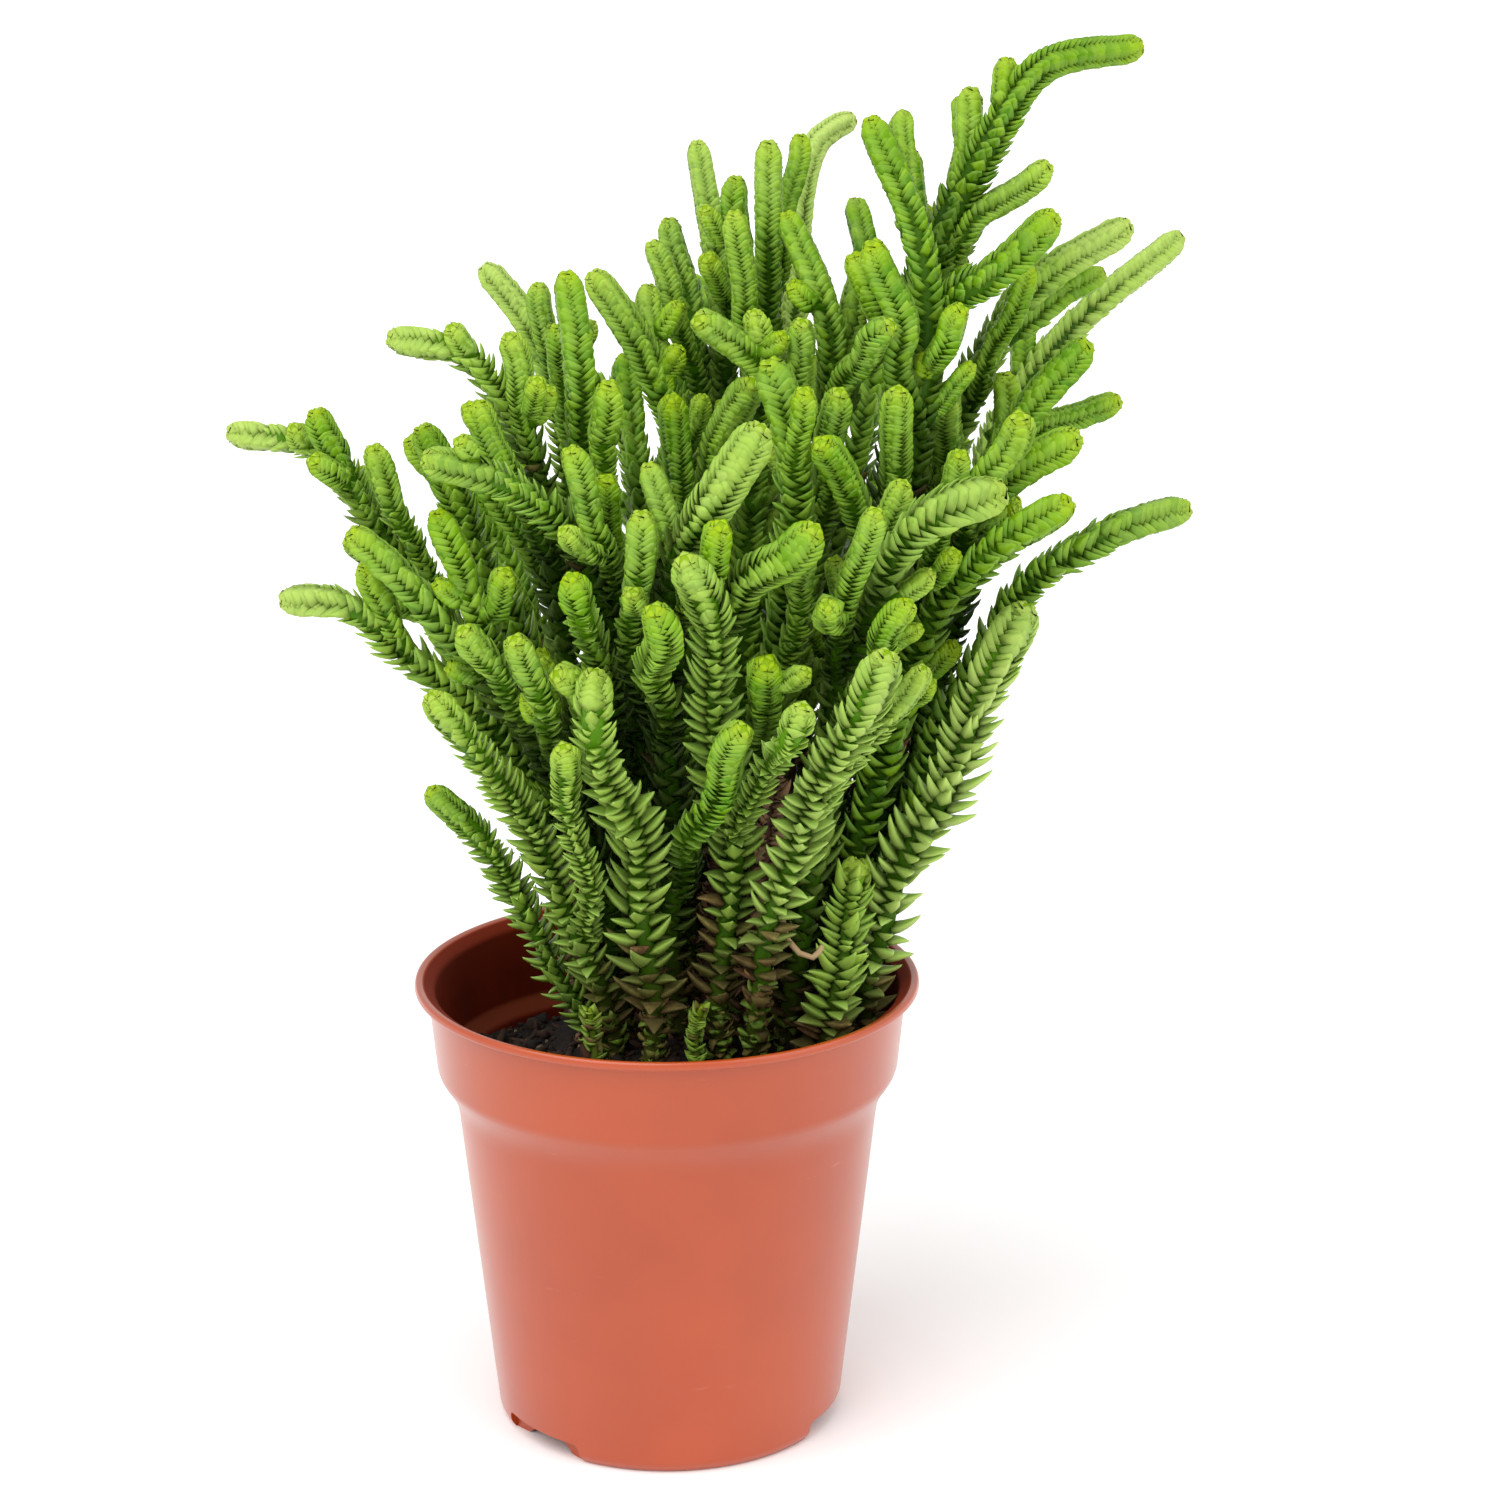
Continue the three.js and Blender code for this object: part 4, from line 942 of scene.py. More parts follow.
def core_shell(limb, dead=False):
    """The stem under the leaves, thick where they lie close and slender where they stand out."""
    line = curve_through(limb.line, 4)
    along = lengths_along(line)
    total = along[-1]
    from_tip = np.append([0, 0.4, 1.2, 2.6], np.arange(5, total, CORE_STEP))[::-1]
    from_tip[0] = total
    centre, ahead, side = frames_along(line, along, total - from_tip)
    other = np.cross(ahead, side)
    least, stretch = lerp(0.7, 0.3, min(1, limb.spread)), min(1, lerp(2.2, 1, limb.spread))
    share = lerp(0.72, least, smoothstep(4 * stretch, 26 * stretch, from_tip))
    if limb.name in YOUNG_SHOOTS:
        share = 0.35
    if dead:
        share = 0.4 if limb.parent is None else 0.6
    radius = leafy_reach(limb, from_tip) * share
    if limb.parent is None:
        bare_to = leafy_start(limb, total)
        thinned = smoothstep(bare_to - 3, bare_to + 3, total - from_tip)
        radius = lerp(FOOT_RADIUS, radius, thinned)
    ring = turned_round(side[:, None], other[:, None], CORE_SIDES)
    points = (centre[:, None] + ring * radius[:, None, None]).reshape(-1, 3)
    points = np.vstack([points, centre[:1], centre[-1:] + ahead[-1:] * 0.2])

    def over_points(values):
        return np.append(np.repeat(values, CORE_SIDES), [values[0], values[-1]])

    rings = len(from_tip)
    woody = (1 - smoothstep(8, 34, total - from_tip)) * (limb.parent is None)
    dry = np.full(rings, 1 if limb.parent is None else 0.1) if dead else 0.6 * woody
    darkest = dead and limb.parent is None
    # Painted shade on the stem between the leaves, deeper further from the tip.
    return shell(
        points, tube_faces(rings, CORE_SIDES), youth=over_points(0.6 * np.exp(-from_tip / 6)),
        dry=over_points(dry), vary=0 if darkest else 0.1,
        shade=over_points(0.2 + 0.5 * smoothstep(4, 26, from_tip)))


def scraps(limb, rng, upto, every, green=0):
    """Small leaves on a bare stem, most of them withered. green is the share that is not."""
    line = curve_through(limb.line, 6)
    along = lengths_along(line)
    distances = np.arange(FOOT_DEPTH - 0.5, upto, every)
    centre, ahead, side = frames_along(line, along, distances, 0, 2)
    count = len(distances) * 2
    centre, ahead, side = (np.tile(values, (2, 1)) for values in (centre, ahead, side))
    out = swung(side, np.cross(ahead, side), rng.uniform(0, 2 * math.pi, count)[:, None])
    reach = rng.uniform(2, 3.8, count)
    # Each scrap gets a random amount of painted shade, as they lie at the foot of the bush.
    return leaves_shell(SimpleNamespace(
        centre=centre, out=out, ahead=ahead, across=np.cross(ahead, out),
        reach=reach, opened=rng.uniform(0.5, 1, count), lean=rng.uniform(-0.5, 0.9, count),
        knee_out=0.7 * reach, tip_out=reach * rng.uniform(0.6, 1, count),
        width=rng.uniform(0.4, 0.9, count), youth=np.zeros(count), tone=rng.uniform(0, 0.5, count),
        dry=np.where(rng.random(count) < green, rng.uniform(0, 0.3, count), rng.uniform(0.7, 1, count)),
        vary=rng.uniform(0, 1, count), shade=rng.uniform(0.2, 0.8, count)), SMALL_LEAF)


# Materials, from nodes alone

class Paint:
    """A material whose nodes are added one after another."""

    def __init__(self, name):
        self.material = bpy.data.materials.new(name)
        self.material.use_nodes = True
        self.tree = self.material.node_tree
        self.shader = self.tree.nodes["Principled BSDF"]

    def node(self, kind, inputs=None, **settings):
        node = self.tree.nodes.new(kind)
        for key, value in settings.items():
            setattr(node, key, value)
        for key, value in (inputs or {}).items():
            self.feed(node.inputs[key], value)
        return node

    def feed(self, socket, value):
        if isinstance(value, bpy.types.NodeSocket):
            self.tree.links.new(value, socket)
        else:
            socket.default_value = value

    def set(self, **inputs):
        for key, value in inputs.items():
            self.feed(self.shader.inputs[key.replace("_", " ").title().replace("Ior", "IOR")], value)

    def place(self):
        return self.node("ShaderNodeTexCoord").outputs["Object"]

    def mark(self, name):
        return self.node("ShaderNodeAttribute", attribute_name=name).outputs["Fac"]

    def noise(self, scale, detail, roughness=0.55, stretch=None):
        place = self.place()
        if stretch:
            place = self.node("ShaderNodeMapping", {"Vector": place, "Scale": stretch}).outputs[0]
        return self.node("ShaderNodeTexNoise", {
            "Vector": place, "Scale": scale, "Detail": detail, "Roughness": roughness}).outputs["Fac"]

    def ramp(self, value, low, high, start=0.0, end=1.0):
        return self.node("ShaderNodeMapRange", {
            "Value": value, "From Min": low, "From Max": high, "To Min": start, "To Max": end,
        }).outputs["Result"]

    def maths(self, operation, a, b):
        return self.node("ShaderNodeMath", {0: a, 1: b}, operation=operation).outputs[0]

    def mix(self, share, a, b):
        return self.node("ShaderNodeMix", {0: share, 6: a, 7: b}, data_type="RGBA").outputs[2]

    def over(self, under, value, low, high, most, *screen):
        """A colour over another: none of it where the value is low, and so much where it's high."""
        return self.mix(self.ramp(value, low, high, 0, most), under, colour(*screen))

    def finish(self, skin, roughness, height, strength, distance, **more):
        """Sets the colour and the roughness, and bumps of some height, and gives the material."""
        bump = self.node("ShaderNodeBump", {
            "Height": height, "Strength": strength, "Distance": distance * MM}).outputs["Normal"]
        self.set(base_color=skin, roughness=roughness, normal=bump, **more)
        return self.material


def colour(red, green, blue):
    """Linear colour from screen values of 0 to 255."""
    values = [value / 255 for value in (red, green, blue)]
    return (*[v / 12.92 if v <= 0.04045 else ((v + 0.055) / 1.055) ** 2.4 for v in values], 1)


def leaf_material():
    paint = Paint("crassula_leaf")
    youth, pale, dry, vary, shade, tone = (paint.mark(mark) for mark in MARKS)
    mottle = paint.noise(900, 2)
    patches = paint.noise(70, 2)
    green = paint.mix(paint.ramp(patches, 0.35, 0.65), colour(50, 108, 0), colour(80, 138, 2))
    green = paint.mix(vary, green, colour(138, 180, 12))
    fresh = paint.mix(vary, colour(82, 142, 0), colour(136, 180, 2))
    green = paint.mix(paint.ramp(youth, 0.1, 0.5), green, fresh)
    green = paint.over(green, youth, 0.25, 0.75, 1, 160, 190, 0)
    green = paint.over(green, mottle, 0.45, 0.7, 0.25, 136, 180, 44)
    # Paler by the tone mark: partly the limb's own tone, partly painted highlight.
    green = paint.over(green, tone, 0, 1, 0.85, 194, 216, 122)
    # Pale margins and upper faces: partly the leaf's own colour, partly painted highlight.
    green = paint.over(green, pale, 0.1, 0.6, 0.55, 160, 202, 82)
    green = paint.over(green, pale, 0.55, 1, 0.75, 204, 226, 156)
    # Painted shade: towards a dark green where the shade mark is high.
    green = paint.over(green, shade, 0, 1, 0.9, 16, 38, 2)
    brown = paint.mix(vary, colour(58, 36, 22), colour(158, 124, 82))
    brown = paint.over(brown, mottle, 0.3, 0.7, 1, 96, 62, 38)
    # Painted shade on the withered leaves too.
    brown = paint.over(brown, shade, 0, 1, 0.65, 28, 17, 10)
    skin = paint.mix(dry, green, brown)
    gloss = paint.ramp(dry, 0, 1, 0.46, 0.8)
    return paint.finish(skin, gloss, mottle, 0.25, 0.2, specular_ior_level=0.15)


def dry_material():
    paint = Paint("crassula_dry_stem")
    dry, vary = paint.mark("dry"), paint.mark("vary")
    grain = paint.noise(600, 4)
    bark = paint.mix(vary, colour(52, 32, 22), colour(150, 116, 78))
    bark = paint.over(bark, grain, 0.35, 0.7, 1, 104, 66, 42)
    bark = paint.mix(paint.maths("SUBTRACT", 1.0, dry), bark, colour(176, 150, 108))
    return paint.finish(bark, 0.8, grain, 0.5, 0.3)


def pot_material():
    paint = Paint("pot_plastic")
    broad = paint.noise(28, 3)
    fine = paint.noise(1400, 2)
    scuffs = paint.noise(60, 5, 0.7, stretch=(1, 1, 7))
    skin = paint.mix(paint.ramp(broad, 0.35, 0.65), colour(166, 61, 12), colour(176, 68, 16))
    scuffed = paint.ramp(scuffs, 0.66, 0.76, 0, 0.3)
    skin = paint.mix(scuffed, skin, colour(222, 138, 112))
    gloss = paint.ramp(broad, 0.3, 0.7, 0.28, 0.36)
    gloss = paint.maths("ADD", gloss, paint.maths("MULTIPLY", scuffed, 0.4))
    return paint.finish(skin, gloss, fine, 0.08, 0.1, coat_weight=0.5, coat_roughness=0.22)


def pot_inside_material():
    """The inner wall is darker the lower it is, in streaks: partly soil stain, partly painted shade.
    The slope just inside the lip is painted dark as shade, and a lighter band along the ledge is
    painted highlight where the step catches the light.
    """
    paint = Paint("pot_plastic_inside")
    height = paint.node("ShaderNodeSeparateXYZ", {0: paint.place()}).outputs["Z"]

    def between(start, full):
        """From 0 at one height to 1 at another."""
        return paint.ramp(height, start * MM, full * MM)

    streaks = paint.noise(90, 4, 0.6, stretch=(1, 1, 0.25))
    # Soil stain and painted shade together, in streaks, for the wall below the lip.
    stain_and_shade = paint.mix(streaks, colour(124, 36, 12), colour(72, 20, 8))
    # Painted shade on the slope just inside the lip.
    painted_lip_shade = between(POT_HEIGHT - 0.22, POT_HEIGHT - 0.5)
    skin = paint.mix(painted_lip_shade, colour(186, 84, 56), colour(122, 38, 14))
    # Darker from 1 to 9 mm below the rim: the stain and painted shade.
    skin = paint.mix(between(POT_HEIGHT - 1, POT_HEIGHT - 9), skin, stain_and_shade)
    # Painted highlight: a lighter band along the ledge.
    ledge = paint.maths("MULTIPLY", between(BAND_FOOT_HEIGHT + 1.8, BAND_FOOT_HEIGHT + 1.1),
                        between(BAND_FOOT_HEIGHT - 0.9, BAND_FOOT_HEIGHT - 0.3))
    skin = paint.mix(ledge, skin, colour(122, 52, 30))
    return paint.finish(skin, 0.7, streaks, 0.1, 0.2, specular_ior_level=0.1)


def soil_material():
    paint = Paint("potting_soil")
    grain = paint.noise(1300, 5, 0.7)
    clods = paint.noise(260, 4, 0.6)
    earth = paint.mix(paint.ramp(clods, 0.35, 0.7), colour(9, 6, 3), colour(36, 23, 14))
    earth = paint.over(earth, grain, 0.6, 0.78, 1, 76, 50, 30)
    return paint.finish(earth, 0.9, grain, 0.9, 0.8)


def crumb_material():
    """Crumbs are dark peat at vary 0, bark and fibre further up, and pale grit at 1."""
    paint = Paint("soil_crumbs")
    vary = paint.mark("vary")
    grain = paint.noise(1500, 4, 0.65)
    crumb = paint.mix(paint.ramp(vary, 0, 0.7), colour(16, 10, 6), colour(68, 43, 25))
    crumb = paint.over(crumb, vary, 0.7, 1, 1, 176, 152, 118)
    crumb = paint.over(crumb, grain, 0.4, 0.8, 0.5, 30, 20, 14)
    return paint.finish(crumb, 0.88, grain, 0.7, 0.4)


def floor_material():
    paint = Paint("pale_floor")
    paint.set(base_color=colour(250, 250, 250), roughness=0.9, specular_ior_level=0.1)
    return paint.material


# Pot

def rounded(corners, steps=3):
    """An outline with each corner (radius, height, rounding) cut off by a small curve."""
    places = np.array([corner[:2] for corner in corners], float)
    points = []
    for i, (_, _, rounding) in enumerate(corners):
        here = places[i]
        if rounding == 0 or i in (0, len(corners) - 1):
            points.append(here)
            continue
        before, after = (unit(places[j] - here) * rounding for j in (i - 1, i + 1))
        for share in np.linspace(0, 1, steps + 1):
            points.append(here + before * (1 - share) ** 2 + after * share ** 2)
    return np.array(points)


def turned(profile, sides):
    """A closed surface of revolution from a profile that starts and ends on the axis."""
    ring = turned_round(np.array([1.0, 0, 0]), np.array([0, 1.0, 0]), sides)
    rings = profile[1:-1]
    points = (rings[:, None, :1] * ring + np.array([0, 0, 1]) * rings[:, None, 1:]).reshape(-1, 3)
    poles = np.array([[0, 0, profile[0][1]], [0, 0, profile[-1][1]]])
    return shell(np.vstack([points, poles]), tube_faces(len(rings), sides))


def pot_corners():
    """The outline from the middle of the underside, up the outside and down to the floor."""
    ring_inner = BASE_RADIUS - FOOT_RING_WIDTH
    ledge = BAND_FOOT_HEIGHT + WALL
    return [
        (0, 0, 0),
        (PAD_RADIUS, 0, 0.5),
        (PAD_RADIUS + 2, FOOT_RING_HEIGHT, 0.5),
        (ring_inner, FOOT_RING_HEIGHT, 0.3),
        (ring_inner + 0.6, 0, 0.3),
        (BASE_RADIUS - 0.9, 0, 0.4),
        (body_radius(1.4), 1.4, 0.7),
        (BODY_TOP_RADIUS, BODY_TOP_HEIGHT, 2.6),
        (BAND_FOOT_RADIUS - 0.4, BAND_FOOT_HEIGHT - 0.6, 0.5),
        (BAND_FOOT_RADIUS, BAND_FOOT_HEIGHT + 0.4, 0.5),
        (BAND_TOP_RADIUS, POT_HEIGHT - LIP_THICKNESS - 0.5, 0.3),
        (RIM_RADIUS - 0.7, POT_HEIGHT - LIP_THICKNESS, 0.3),
        (RIM_RADIUS, POT_HEIGHT - LIP_THICKNESS + 0.5, 0.4),
        (RIM_RADIUS - 0.3, POT_HEIGHT, 0.5),
        (LIP_INNER_RADIUS, POT_HEIGHT - 0.2, 0.4),
        (BAND_TOP_RADIUS - WALL, POT_HEIGHT - LIP_THICKNESS, 0.6),
        (BAND_FOOT_RADIUS - WALL, ledge, 0.5),
        (inner_radius(ledge - 2), ledge - 2, 0.5),
        (inner_radius(FLOOR_TOP), FLOOR_TOP, 0.8),
        (PAD_RADIUS + 2.4, FLOOR_TOP, 0.4),
        (PAD_RADIUS + 0.4, FLOOR_THICKNESS, 0.4),
        (0, FLOOR_THICKNESS, 0),
    ]


def prism(name, outline, length):
    """A temporary solid that cuts: the outline (across, height), along the X axis from 0."""
    points = [(x, across, height) for x in (0, length) for across, height in outline]
    count = len(outline)
    faces = [list(range(count))[::-1], list(range(count, 2 * count))]
    faces += [(i, (i + 1) % count, count + (i + 1) % count, count + i) for i in range(count)]
    mesh = bpy.data.meshes.new(name)
    mesh.from_pydata(np.array(points) * MM, [], faces)
    return add_object(name, mesh)


def arch(width, height, corner, steps=5):
    """The outline of a notch: open below, its two upper corners round."""
    half = width / 2
    right = [(half - corner + corner * math.cos(turn), height - corner + corner * math.sin(turn))
             for turn in np.linspace(0, math.pi / 2, steps)]
    left = [(-across, rise) for across, rise in reversed(right)]
    return [(half, -2), *right, *left, (-half, -2)]


def circle(radius, sides=24):
    """The outline of a drain hole."""
    return [(radius * math.cos(i / sides * 2 * math.pi), radius * math.sin(i / sides * 2 * math.pi))
            for i in range(sides)]


def cut(piece, cutters):
    """Takes the cutters out of a piece, and then off the scene."""
    for cutter in cutters:
        modifier = piece.modifiers.new(cutter.name, "BOOLEAN")
        modifier.operation = "DIFFERENCE"
        modifier.solver = "EXACT"
        modifier.object = cutter
    bpy.context.view_layer.update()
    whole = piece.evaluated_get(bpy.context.evaluated_depsgraph_get())
    mesh = bpy.data.meshes.new_from_object(whole)
    piece.modifiers.clear()
    piece.data = mesh
    for cutter in cutters:
        bpy.data.objects.remove(cutter)


def colour_inside(piece, profile):
    """The wall's inside and the floor have the second material. The underside keeps the first."""
    lip_at = int(np.argmax(profile[:, 0] > RIM_RADIUS - 0.6))
    lip_top = lip_at + int(np.argmax(profile[lip_at:, 0] < LIP_INNER_RADIUS - 0.3))
    for polygon in piece.data.polygons[(lip_top - 2) * POT_SIDES:]:
        polygon.material_index = 1
    base_fan = (len(profile) - 3) * POT_SIDES
    for polygon in piece.data.polygons[base_fan:base_fan + POT_SIDES]:
        polygon.material_index = 0


def make_pot():
    profile = rounded(pot_corners())
    piece = make_piece("pot_body", turned(profile, POT_SIDES), pot_material(), pot_inside_material())
    colour_inside(piece, profile)
    cutters = []
    for degrees in NOTCH_ANGLES:
        angle = math.radians(degrees - 90)
        out = Vector((math.cos(angle), math.sin(angle), 0))
        notch = prism("notch", arch(NOTCH_WIDTH, NOTCH_HEIGHT, NOTCH_CORNER), NOTCH_DEPTH)
        notch.rotation_euler = (0, 0, angle)
        notch.location = out * (BASE_RADIUS - FOOT_RING_WIDTH) * MM
        drain = prism("drain", circle(DRAIN_RADIUS), DRAIN_LENGTH)
        drain.rotation_euler = (0, math.radians(-90), 0)
        drain.location = (out * DRAIN_RING_RADIUS + Vector((0, 0, -DRAIN_BELOW))) * MM
        cutters += [notch, drain]
    cut(piece, cutters)
    piece.data.polygons.foreach_set("use_smooth", np.ones(len(piece.data.polygons), bool))
    piece.data.set_sharp_from_angle(angle=math.radians(SHARP_FROM))
    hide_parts("pot")
    return piece


# Soil and what lies in it

def soil_surface(x, y):
    """The soil's height with its clods."""
    clods = sum(height * noise.noise(Vector((x * scale, y * scale, seed)))
                for height, scale, seed in CLODS)
    return float(soil_height(x, y)) + clods


def make_soil():
    low = FLOOR_TOP + SOIL_GAP
    edge = inner_radius(SOIL_EDGE_HEIGHT, SOIL_GAP)
    side_heights = np.linspace(low, SOIL_EDGE_HEIGHT - 2, SOIL_SIDE_RINGS)
    sides = [(inner_radius(height, SOIL_GAP), height) for height in side_heights]
    top = [(edge * (1 - i / SOIL_RINGS), SOIL_EDGE_HEIGHT) for i in range(SOIL_RINGS)]
    profile = np.array([(0, low), (inner_radius(FLOOR_TOP, SOIL_GAP) * 0.5, low),
                        *sides, *top, (0, SOIL_EDGE_HEIGHT)])
    part = turned(profile, SOIL_SIDES)
    for point in part.points:
        if point[2] > SOIL_EDGE_HEIGHT - 1:
            point[2] = soil_surface(point[0], point[1])
    piece = make_piece("soil_bed", part, soil_material())
    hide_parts("soil")
    return piece


def lump_template(splits):
    """A small round lump: an icosahedron whose faces are split that many times."""
    lump = bmesh.new()
    bmesh.ops.create_icosphere(lump, subdivisions=splits + 1, radius=1)
    points = np.array([vert.co[:] for vert in lump.verts])
    faces = np.array([[vert.index for vert in face.verts] for face in lump.faces])
    lump.free()
    return unit(points), faces


def turned_at_random(points, rng):
    """Each row of points, turned in a way of its own. All directions are alike."""
    turn = unit(rng.normal(size=(len(points), 4)))[:, None]
    twice = 2 * np.cross(turn[..., 1:], points)
    return points + turn[..., :1] * twice + np.cross(turn[..., 1:], twice)


def scattered(rng, count, sizes, shape, vary, splits=0):
    """Lumps over the soil. sizes is the range of their radius, shape their proportions."""
    template, faces = lump_template(splits)
    radius = inner_radius(SOIL_EDGE_HEIGHT, CRUMB_GAP) * np.sqrt(rng.random(count))
    angle = rng.uniform(0, 2 * math.pi, count)
    x, y = radius * np.cos(angle), radius * np.sin(angle)
    size = rng.uniform(*sizes, count)
    squash = np.array(shape) * rng.uniform(0.65, 1.35, (count, 3))
    bumps = 1 + rng.uniform(-0.28, 0.28, (count, len(template), 1))
    points = template[None] * bumps * squash[:, None] * size[:, None, None]
    points = turned_at_random(points, rng)
    z = np.array([soil_surface(*place) for place in zip(x, y)]) + size * LUMP_RISE
    points += np.stack([x, y, z], -1)[:, None]
    return shell(points, copied([faces], count, len(template)), vary=rng.uniform(*vary, count)[:, None])


def make_crumbs():
    rng = np.random.default_rng(CRUMB_SEED)
    material = crumb_material()
    fine = scattered(rng, 700, (0.25, 0.8), (1, 1, 0.9), (0, 0.4))
    coarse = scattered(rng, 130, (0.8, 1.6), (1, 1, 0.9), (0, 0.45), splits=1)
    kinds = {
        "soil_crumbs": joined([fine, coarse]),
        "soil_bark": scattered(rng, 190, (0.6, 1.7), (1.9, 0.5, 0.35), (0.35, 0.8)),
        "soil_grit": scattered(rng, 80, (0.25, 0.55), (1, 1, 1), (0.8, 1)),
    }
    return [finish_piece(make_piece(name, part, material), "soil") for name, part in kinds.items()]


# Plant

def grow():
    """The limbs of every stem, standing clear of one another."""
    random = seeded_random(BACK_SEED)
    stems = {**STEMS, **DEAD_STEMS, **YOUNG_SHOOTS}
    for i, stem in enumerate(BACK_STEMS):
        stems[f"stem_far_side_{i + 1}"] = back_stem(stem, random)
    grown = {name: lay_limbs(name, stem) for name, stem in stems.items()}
    stand_clear([limb for limbs in grown.values() for limb in limbs])
    return grown


def side_bud(limb, at, end, radius):
    """A short shoot from somewhere along a limb, its line already laid."""
    along = lengths_along(limb.line)
    root = at_lengths(limb.line, along, at * along[-1])
    before = part_before(limb.line, at)
    ahead = unit(limb.line[before + 1] - limb.line[before])
    middle = lerp(root, end, 0.5) - ahead * 0.12 * np.linalg.norm(end - root)
    line = evenly([root, middle, end], 2)
    # Painted shade from the parent at the root, fading to three tenths of it at the bud's tip.
    shade = np.linspace(limb.shade[before], 0.3 * limb.shade[before], len(line))
    return new_limb(name=limb.name, parent=limb, at=at, low=radius * 1.1, tip=radius,
                    length=lengths_along(line)[-1], line=line, shade=shade, spread=limb.spread)


def picture_places(places):
    """How far across and up in the picture each place is seen."""
    ahead, right, up = sight_axes()
    rays = places - EYE
    rays *= ((RIM_CENTRE - EYE).dot(ahead) / (rays @ ahead))[:, None]
    return np.stack([(rays + EYE - RIM_CENTRE) @ right, (rays + EYE - RIM_CENTRE) @ up], -1)


def picked_buds(limbs):
    """The buds whose tips are listed, each rooted on the limb that passes best below its tip."""
    spots = [(limb, i, limb.line[i]) for limb in limbs for i in range(2, len(limb.line) - 2)]
    places = np.array([place for _, _, place in spots])
    flat = picture_places(places)
    buds = []
    for across, rise in BUDS:
        off = np.array([across, rise]) - flat
        far = np.linalg.norm(off, axis=1)
        cost = np.abs(far - 6.5) + np.maximum(0, 3 - off[:, 1]) + 0.12 * places[:, 1]
        limb, i, root = spots[int(np.argmin(cost))]
        tip = seen((across, rise, root[1] - 2))
        buds.append(side_bud(limb, i / (len(limb.line) - 1), tip, PICKED_BUD_RADIUS))
    return buds


def gap_buds(limbs, rng):
    """Buds that lean into the gaps of the bush."""
    cloud = np.vstack([limb.line for limb in limbs])
    owner = np.concatenate([np.full(len(limb.line), i) for i, limb in enumerate(limbs)])
    found = []
    for number, limb in enumerate(limbs):
        along = lengths_along(limb.line)
        others = cloud[owner != number]
        for at in np.arange(0.38, 0.78, 9 / along[-1]):
            at = at + rng.uniform(0, 3) / along[-1]
            centre, ahead, side = frames_along(limb.line, along, np.array([at * along[-1]]))
            out = turned_round(side[0], np.cross(ahead[0], side[0]), 12, rng.uniform(0, 0.5))
            length = rng.uniform(7, 15)
            ends = centre + unit(out + 0.8 * ahead + np.array([0, 0, 0.35])) * length
            apart = np.linalg.norm(ends[:, None] - others[None], axis=2)
            best = int(np.argmax(apart.min(axis=1)))
            company = np.sum(apart[best] < BUD_COMPANY)
            if BUD_CLEARANCE[0] < apart[best].min() < BUD_CLEARANCE[1] and company > BUD_NEIGHBOURS:
                found.append((limb, at, ends[best]))
    chosen = rng.permutation(len(found))[:BUDS_IN_GAPS]
    return [side_bud(*found[i], rng.uniform(1.6, 2.3)) for i in chosen]


def add_buds(grown):
    """Buds on the living stems. Those with open leaves get none of the ones that fill gaps."""
    limbs = [limb for name, stem in grown.items() if name in STEMS or "far_side" in name
             for limb in stem]
    closed = [limb for limb in limbs if not limb.open]
    for bud in picked_buds(limbs) + gap_buds(closed, np.random.default_rng(BUD_SEED)):
        grown[bud.name].append(bud)


def make_old_twigs(grown, material):
    """Bare old twigs with withered leaves, in the dark between the stems."""
    rng = np.random.default_rng(TWIG_SEED)
    feet = [limbs[0].line[1][:2] for limbs in grown.values()]
    shares = np.array([0, 0.3, 0.65, 1])
    shells = []
    while len(shells) < 2 * OLD_TWIGS:
        foot = CLUMP + rng.uniform((-17, -4), (17, 14))
        if min(np.linalg.norm(foot - other) for other in feet) < TWIG_CLEARANCE:
            continue
        feet.append(foot)
        lean = (foot - CLUMP) * 0.02 + rng.normal(0, 0.12, 2)
        height = rng.uniform(22, 62)
        line = [foot[axis] + lean[axis] * height * shares + rng.normal(0, 1.2, 4) * (shares > 0)
                for axis in (0, 1)]
        length = height + FOOT_DEPTH
        line.append(float(soil_height(*foot)) - FOOT_DEPTH + length * shares)
        twig = new_limb(name="old_twigs", low=2.6, tip=1.7, length=length, shade=np.zeros(2),
                        line=evenly(np.stack(line, -1), SAMPLE_STEP))
        shells += [core_shell(twig, True), scraps(twig, rng, length, TWIG_SCRAP_STEP)]
    return finish_piece(make_piece("old_twigs", joined(shells), material), "dry_stem")


def wander(limb, rng):
    """Small bends that keep both ends of a limb where they are."""
    share = np.linspace(0, 1, len(limb.line))[:, None]
    size = WANDER * min(1, limb.length / 60)
    limb.line = limb.line + sum(
        rng.normal(0, size, 3) * np.sin(math.pi * waves * share) for waves in (1, 2, 3, 4))


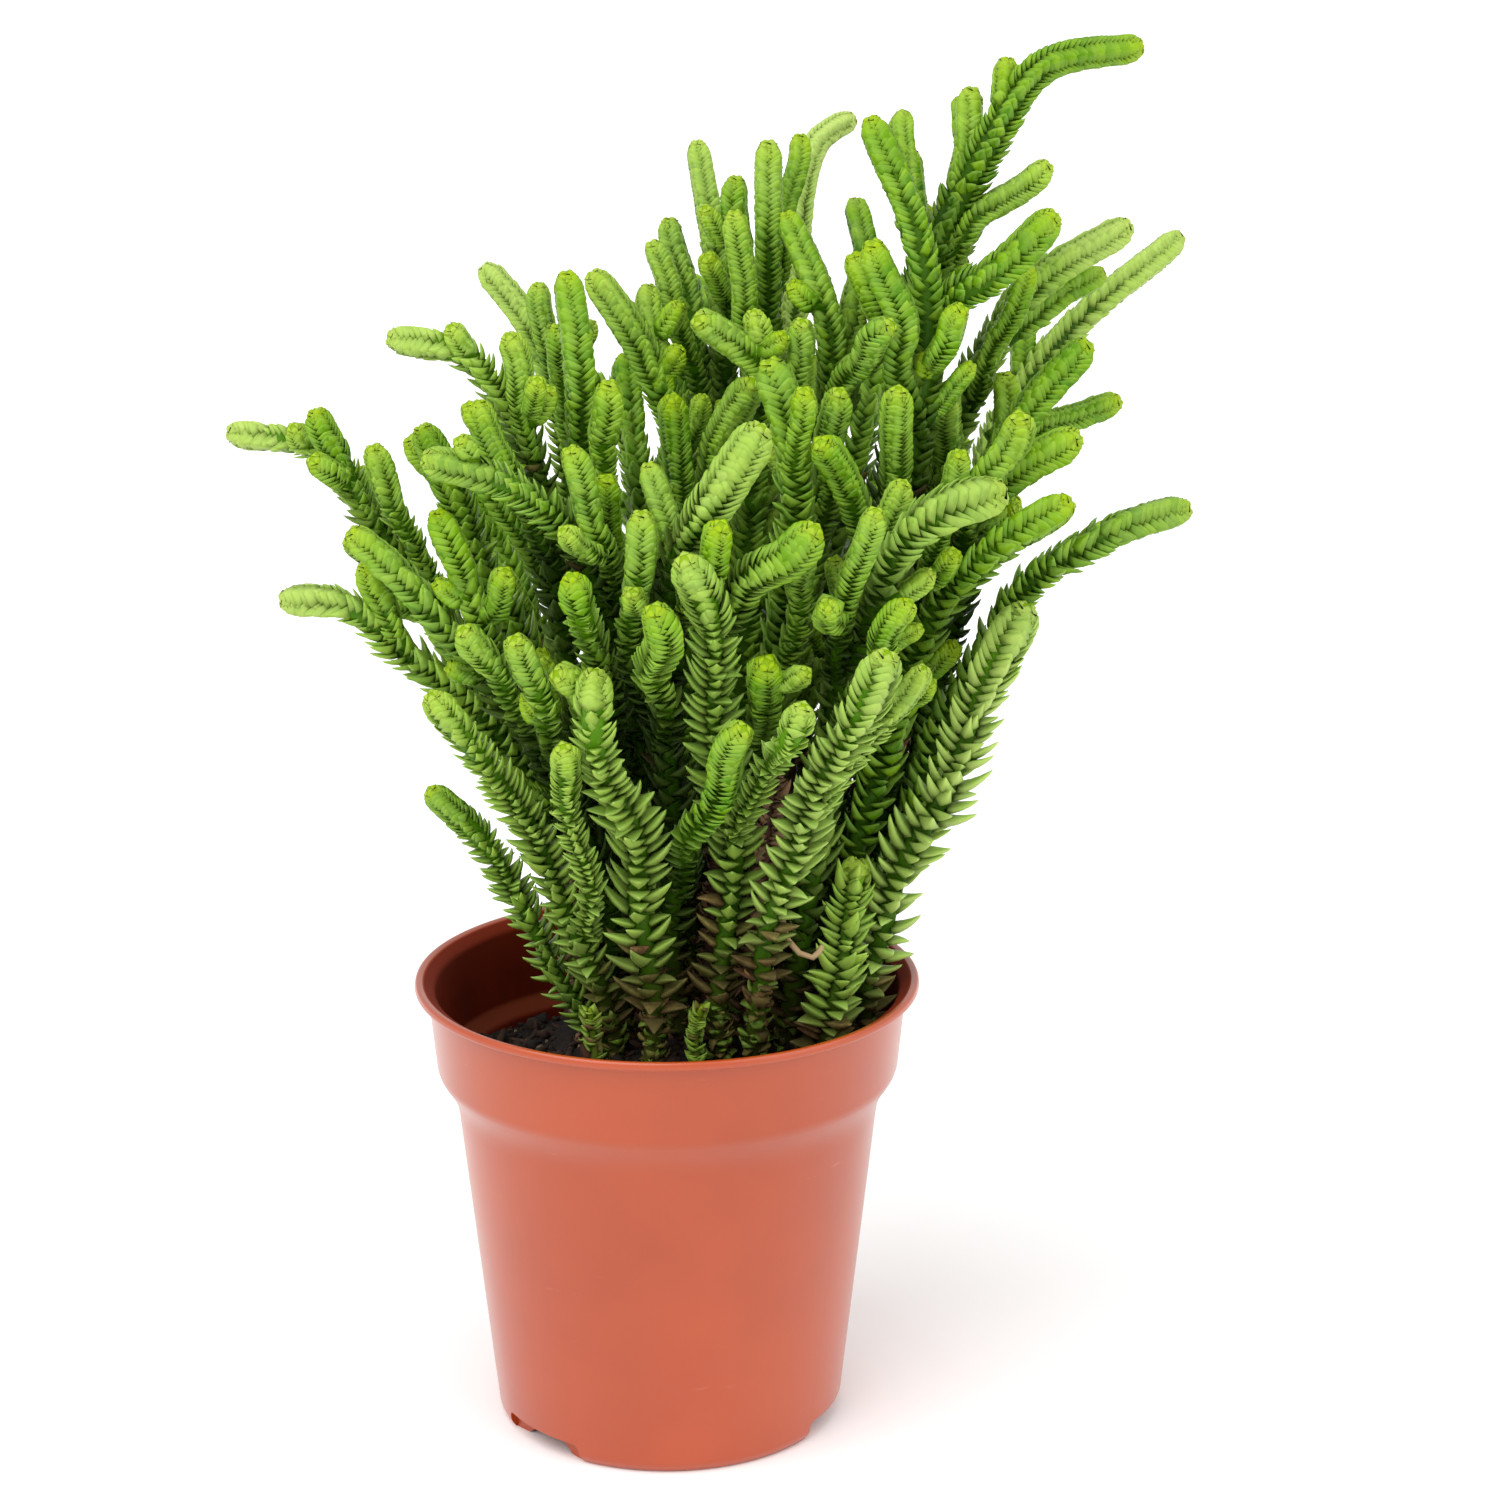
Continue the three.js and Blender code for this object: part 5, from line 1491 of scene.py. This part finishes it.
def make_stem(number, name, limbs, material):
    """A whole stem: its limbs, their leaves, and the scraps on the foot of a living one."""
    rng = np.random.default_rng(STEM_SEED + number)
    dead = name in DEAD_STEMS
    shells = []
    for limb in limbs:
        wander(limb, rng)
        shells.append(core_shell(limb, dead))
        if not dead or limb.parent is None:
            shells += limb_leaves(limb, rng, dead)
    if name in STEMS:
        foot = limbs[0]
        shells.append(scraps(foot, rng, leafy_start(foot, foot.length) + 3, SCRAP_STEP, 0.5))
    piece = make_piece(f"{name}_leafy", joined(shells), material)
    return finish_piece(piece, "dry_stem" if dead else "leaf", name)


def make_plant():
    leaf, dry = leaf_material(), dry_material()
    grown = grow()
    add_buds(grown)
    pieces = [make_old_twigs(grown, dry)]
    for number, (name, limbs) in enumerate(grown.items()):
        pieces.append(make_stem(number, name, limbs, dry if name in DEAD_STEMS else leaf))
    return pieces


# Floor, light and camera

def make_floor():
    mesh = bpy.data.meshes.new("floor")
    corners = [(-1, -1), (1, -1), (1, 1), (-1, 1)]
    mesh.from_pydata([(FLOOR_HALF * x, FLOOR_HALF * y, 0) for x, y in corners], [], [(0, 1, 2, 3)])
    mesh.materials.append(floor_material())
    floor = add_object("floor", mesh)


def aim(thing, direction):
    """Turns a light or the camera to point that way."""
    thing.rotation_euler = Vector(direction).to_track_quat("-Z", "Y").to_euler()


def make_sun(name, towards, strength):
    """A soft light so far off that the whole floor gets the same."""
    light = bpy.data.lights.new(name, "SUN")
    light.angle = math.radians(SUN_WIDTH)
    light.energy = strength
    aim(add_object(name, light), towards)


def make_studio():
    world = bpy.data.worlds.new("studio")
    world.use_nodes = True
    background = world.node_tree.nodes["Background"]
    background.inputs["Color"].default_value = (1, 1, 1, 1)
    background.inputs["Strength"].default_value = SKY_LIGHT
    bpy.context.scene.world = world
    bpy.context.scene.view_settings.view_transform = "Standard"
    make_sun("key", (0.5, 0.55, -0.95), 1.9)
    make_sun("fill", (-0.8, 0.45, -0.6), 0.9)


def make_camera():
    camera = add_object("camera", bpy.data.cameras.new("camera"))
    camera.data.sensor_width = SENSOR
    camera.data.lens = LENS
    camera.data.clip_start, camera.data.clip_end = CLIP
    camera.location = EYE * MM
    aim(camera, sight_axes()[0])
    bpy.context.scene.camera = camera


make_camera()
make_studio()
make_floor()
for piece in [make_pot(), make_soil(), *make_crumbs(), *make_plant()]:
    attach(piece, "root")
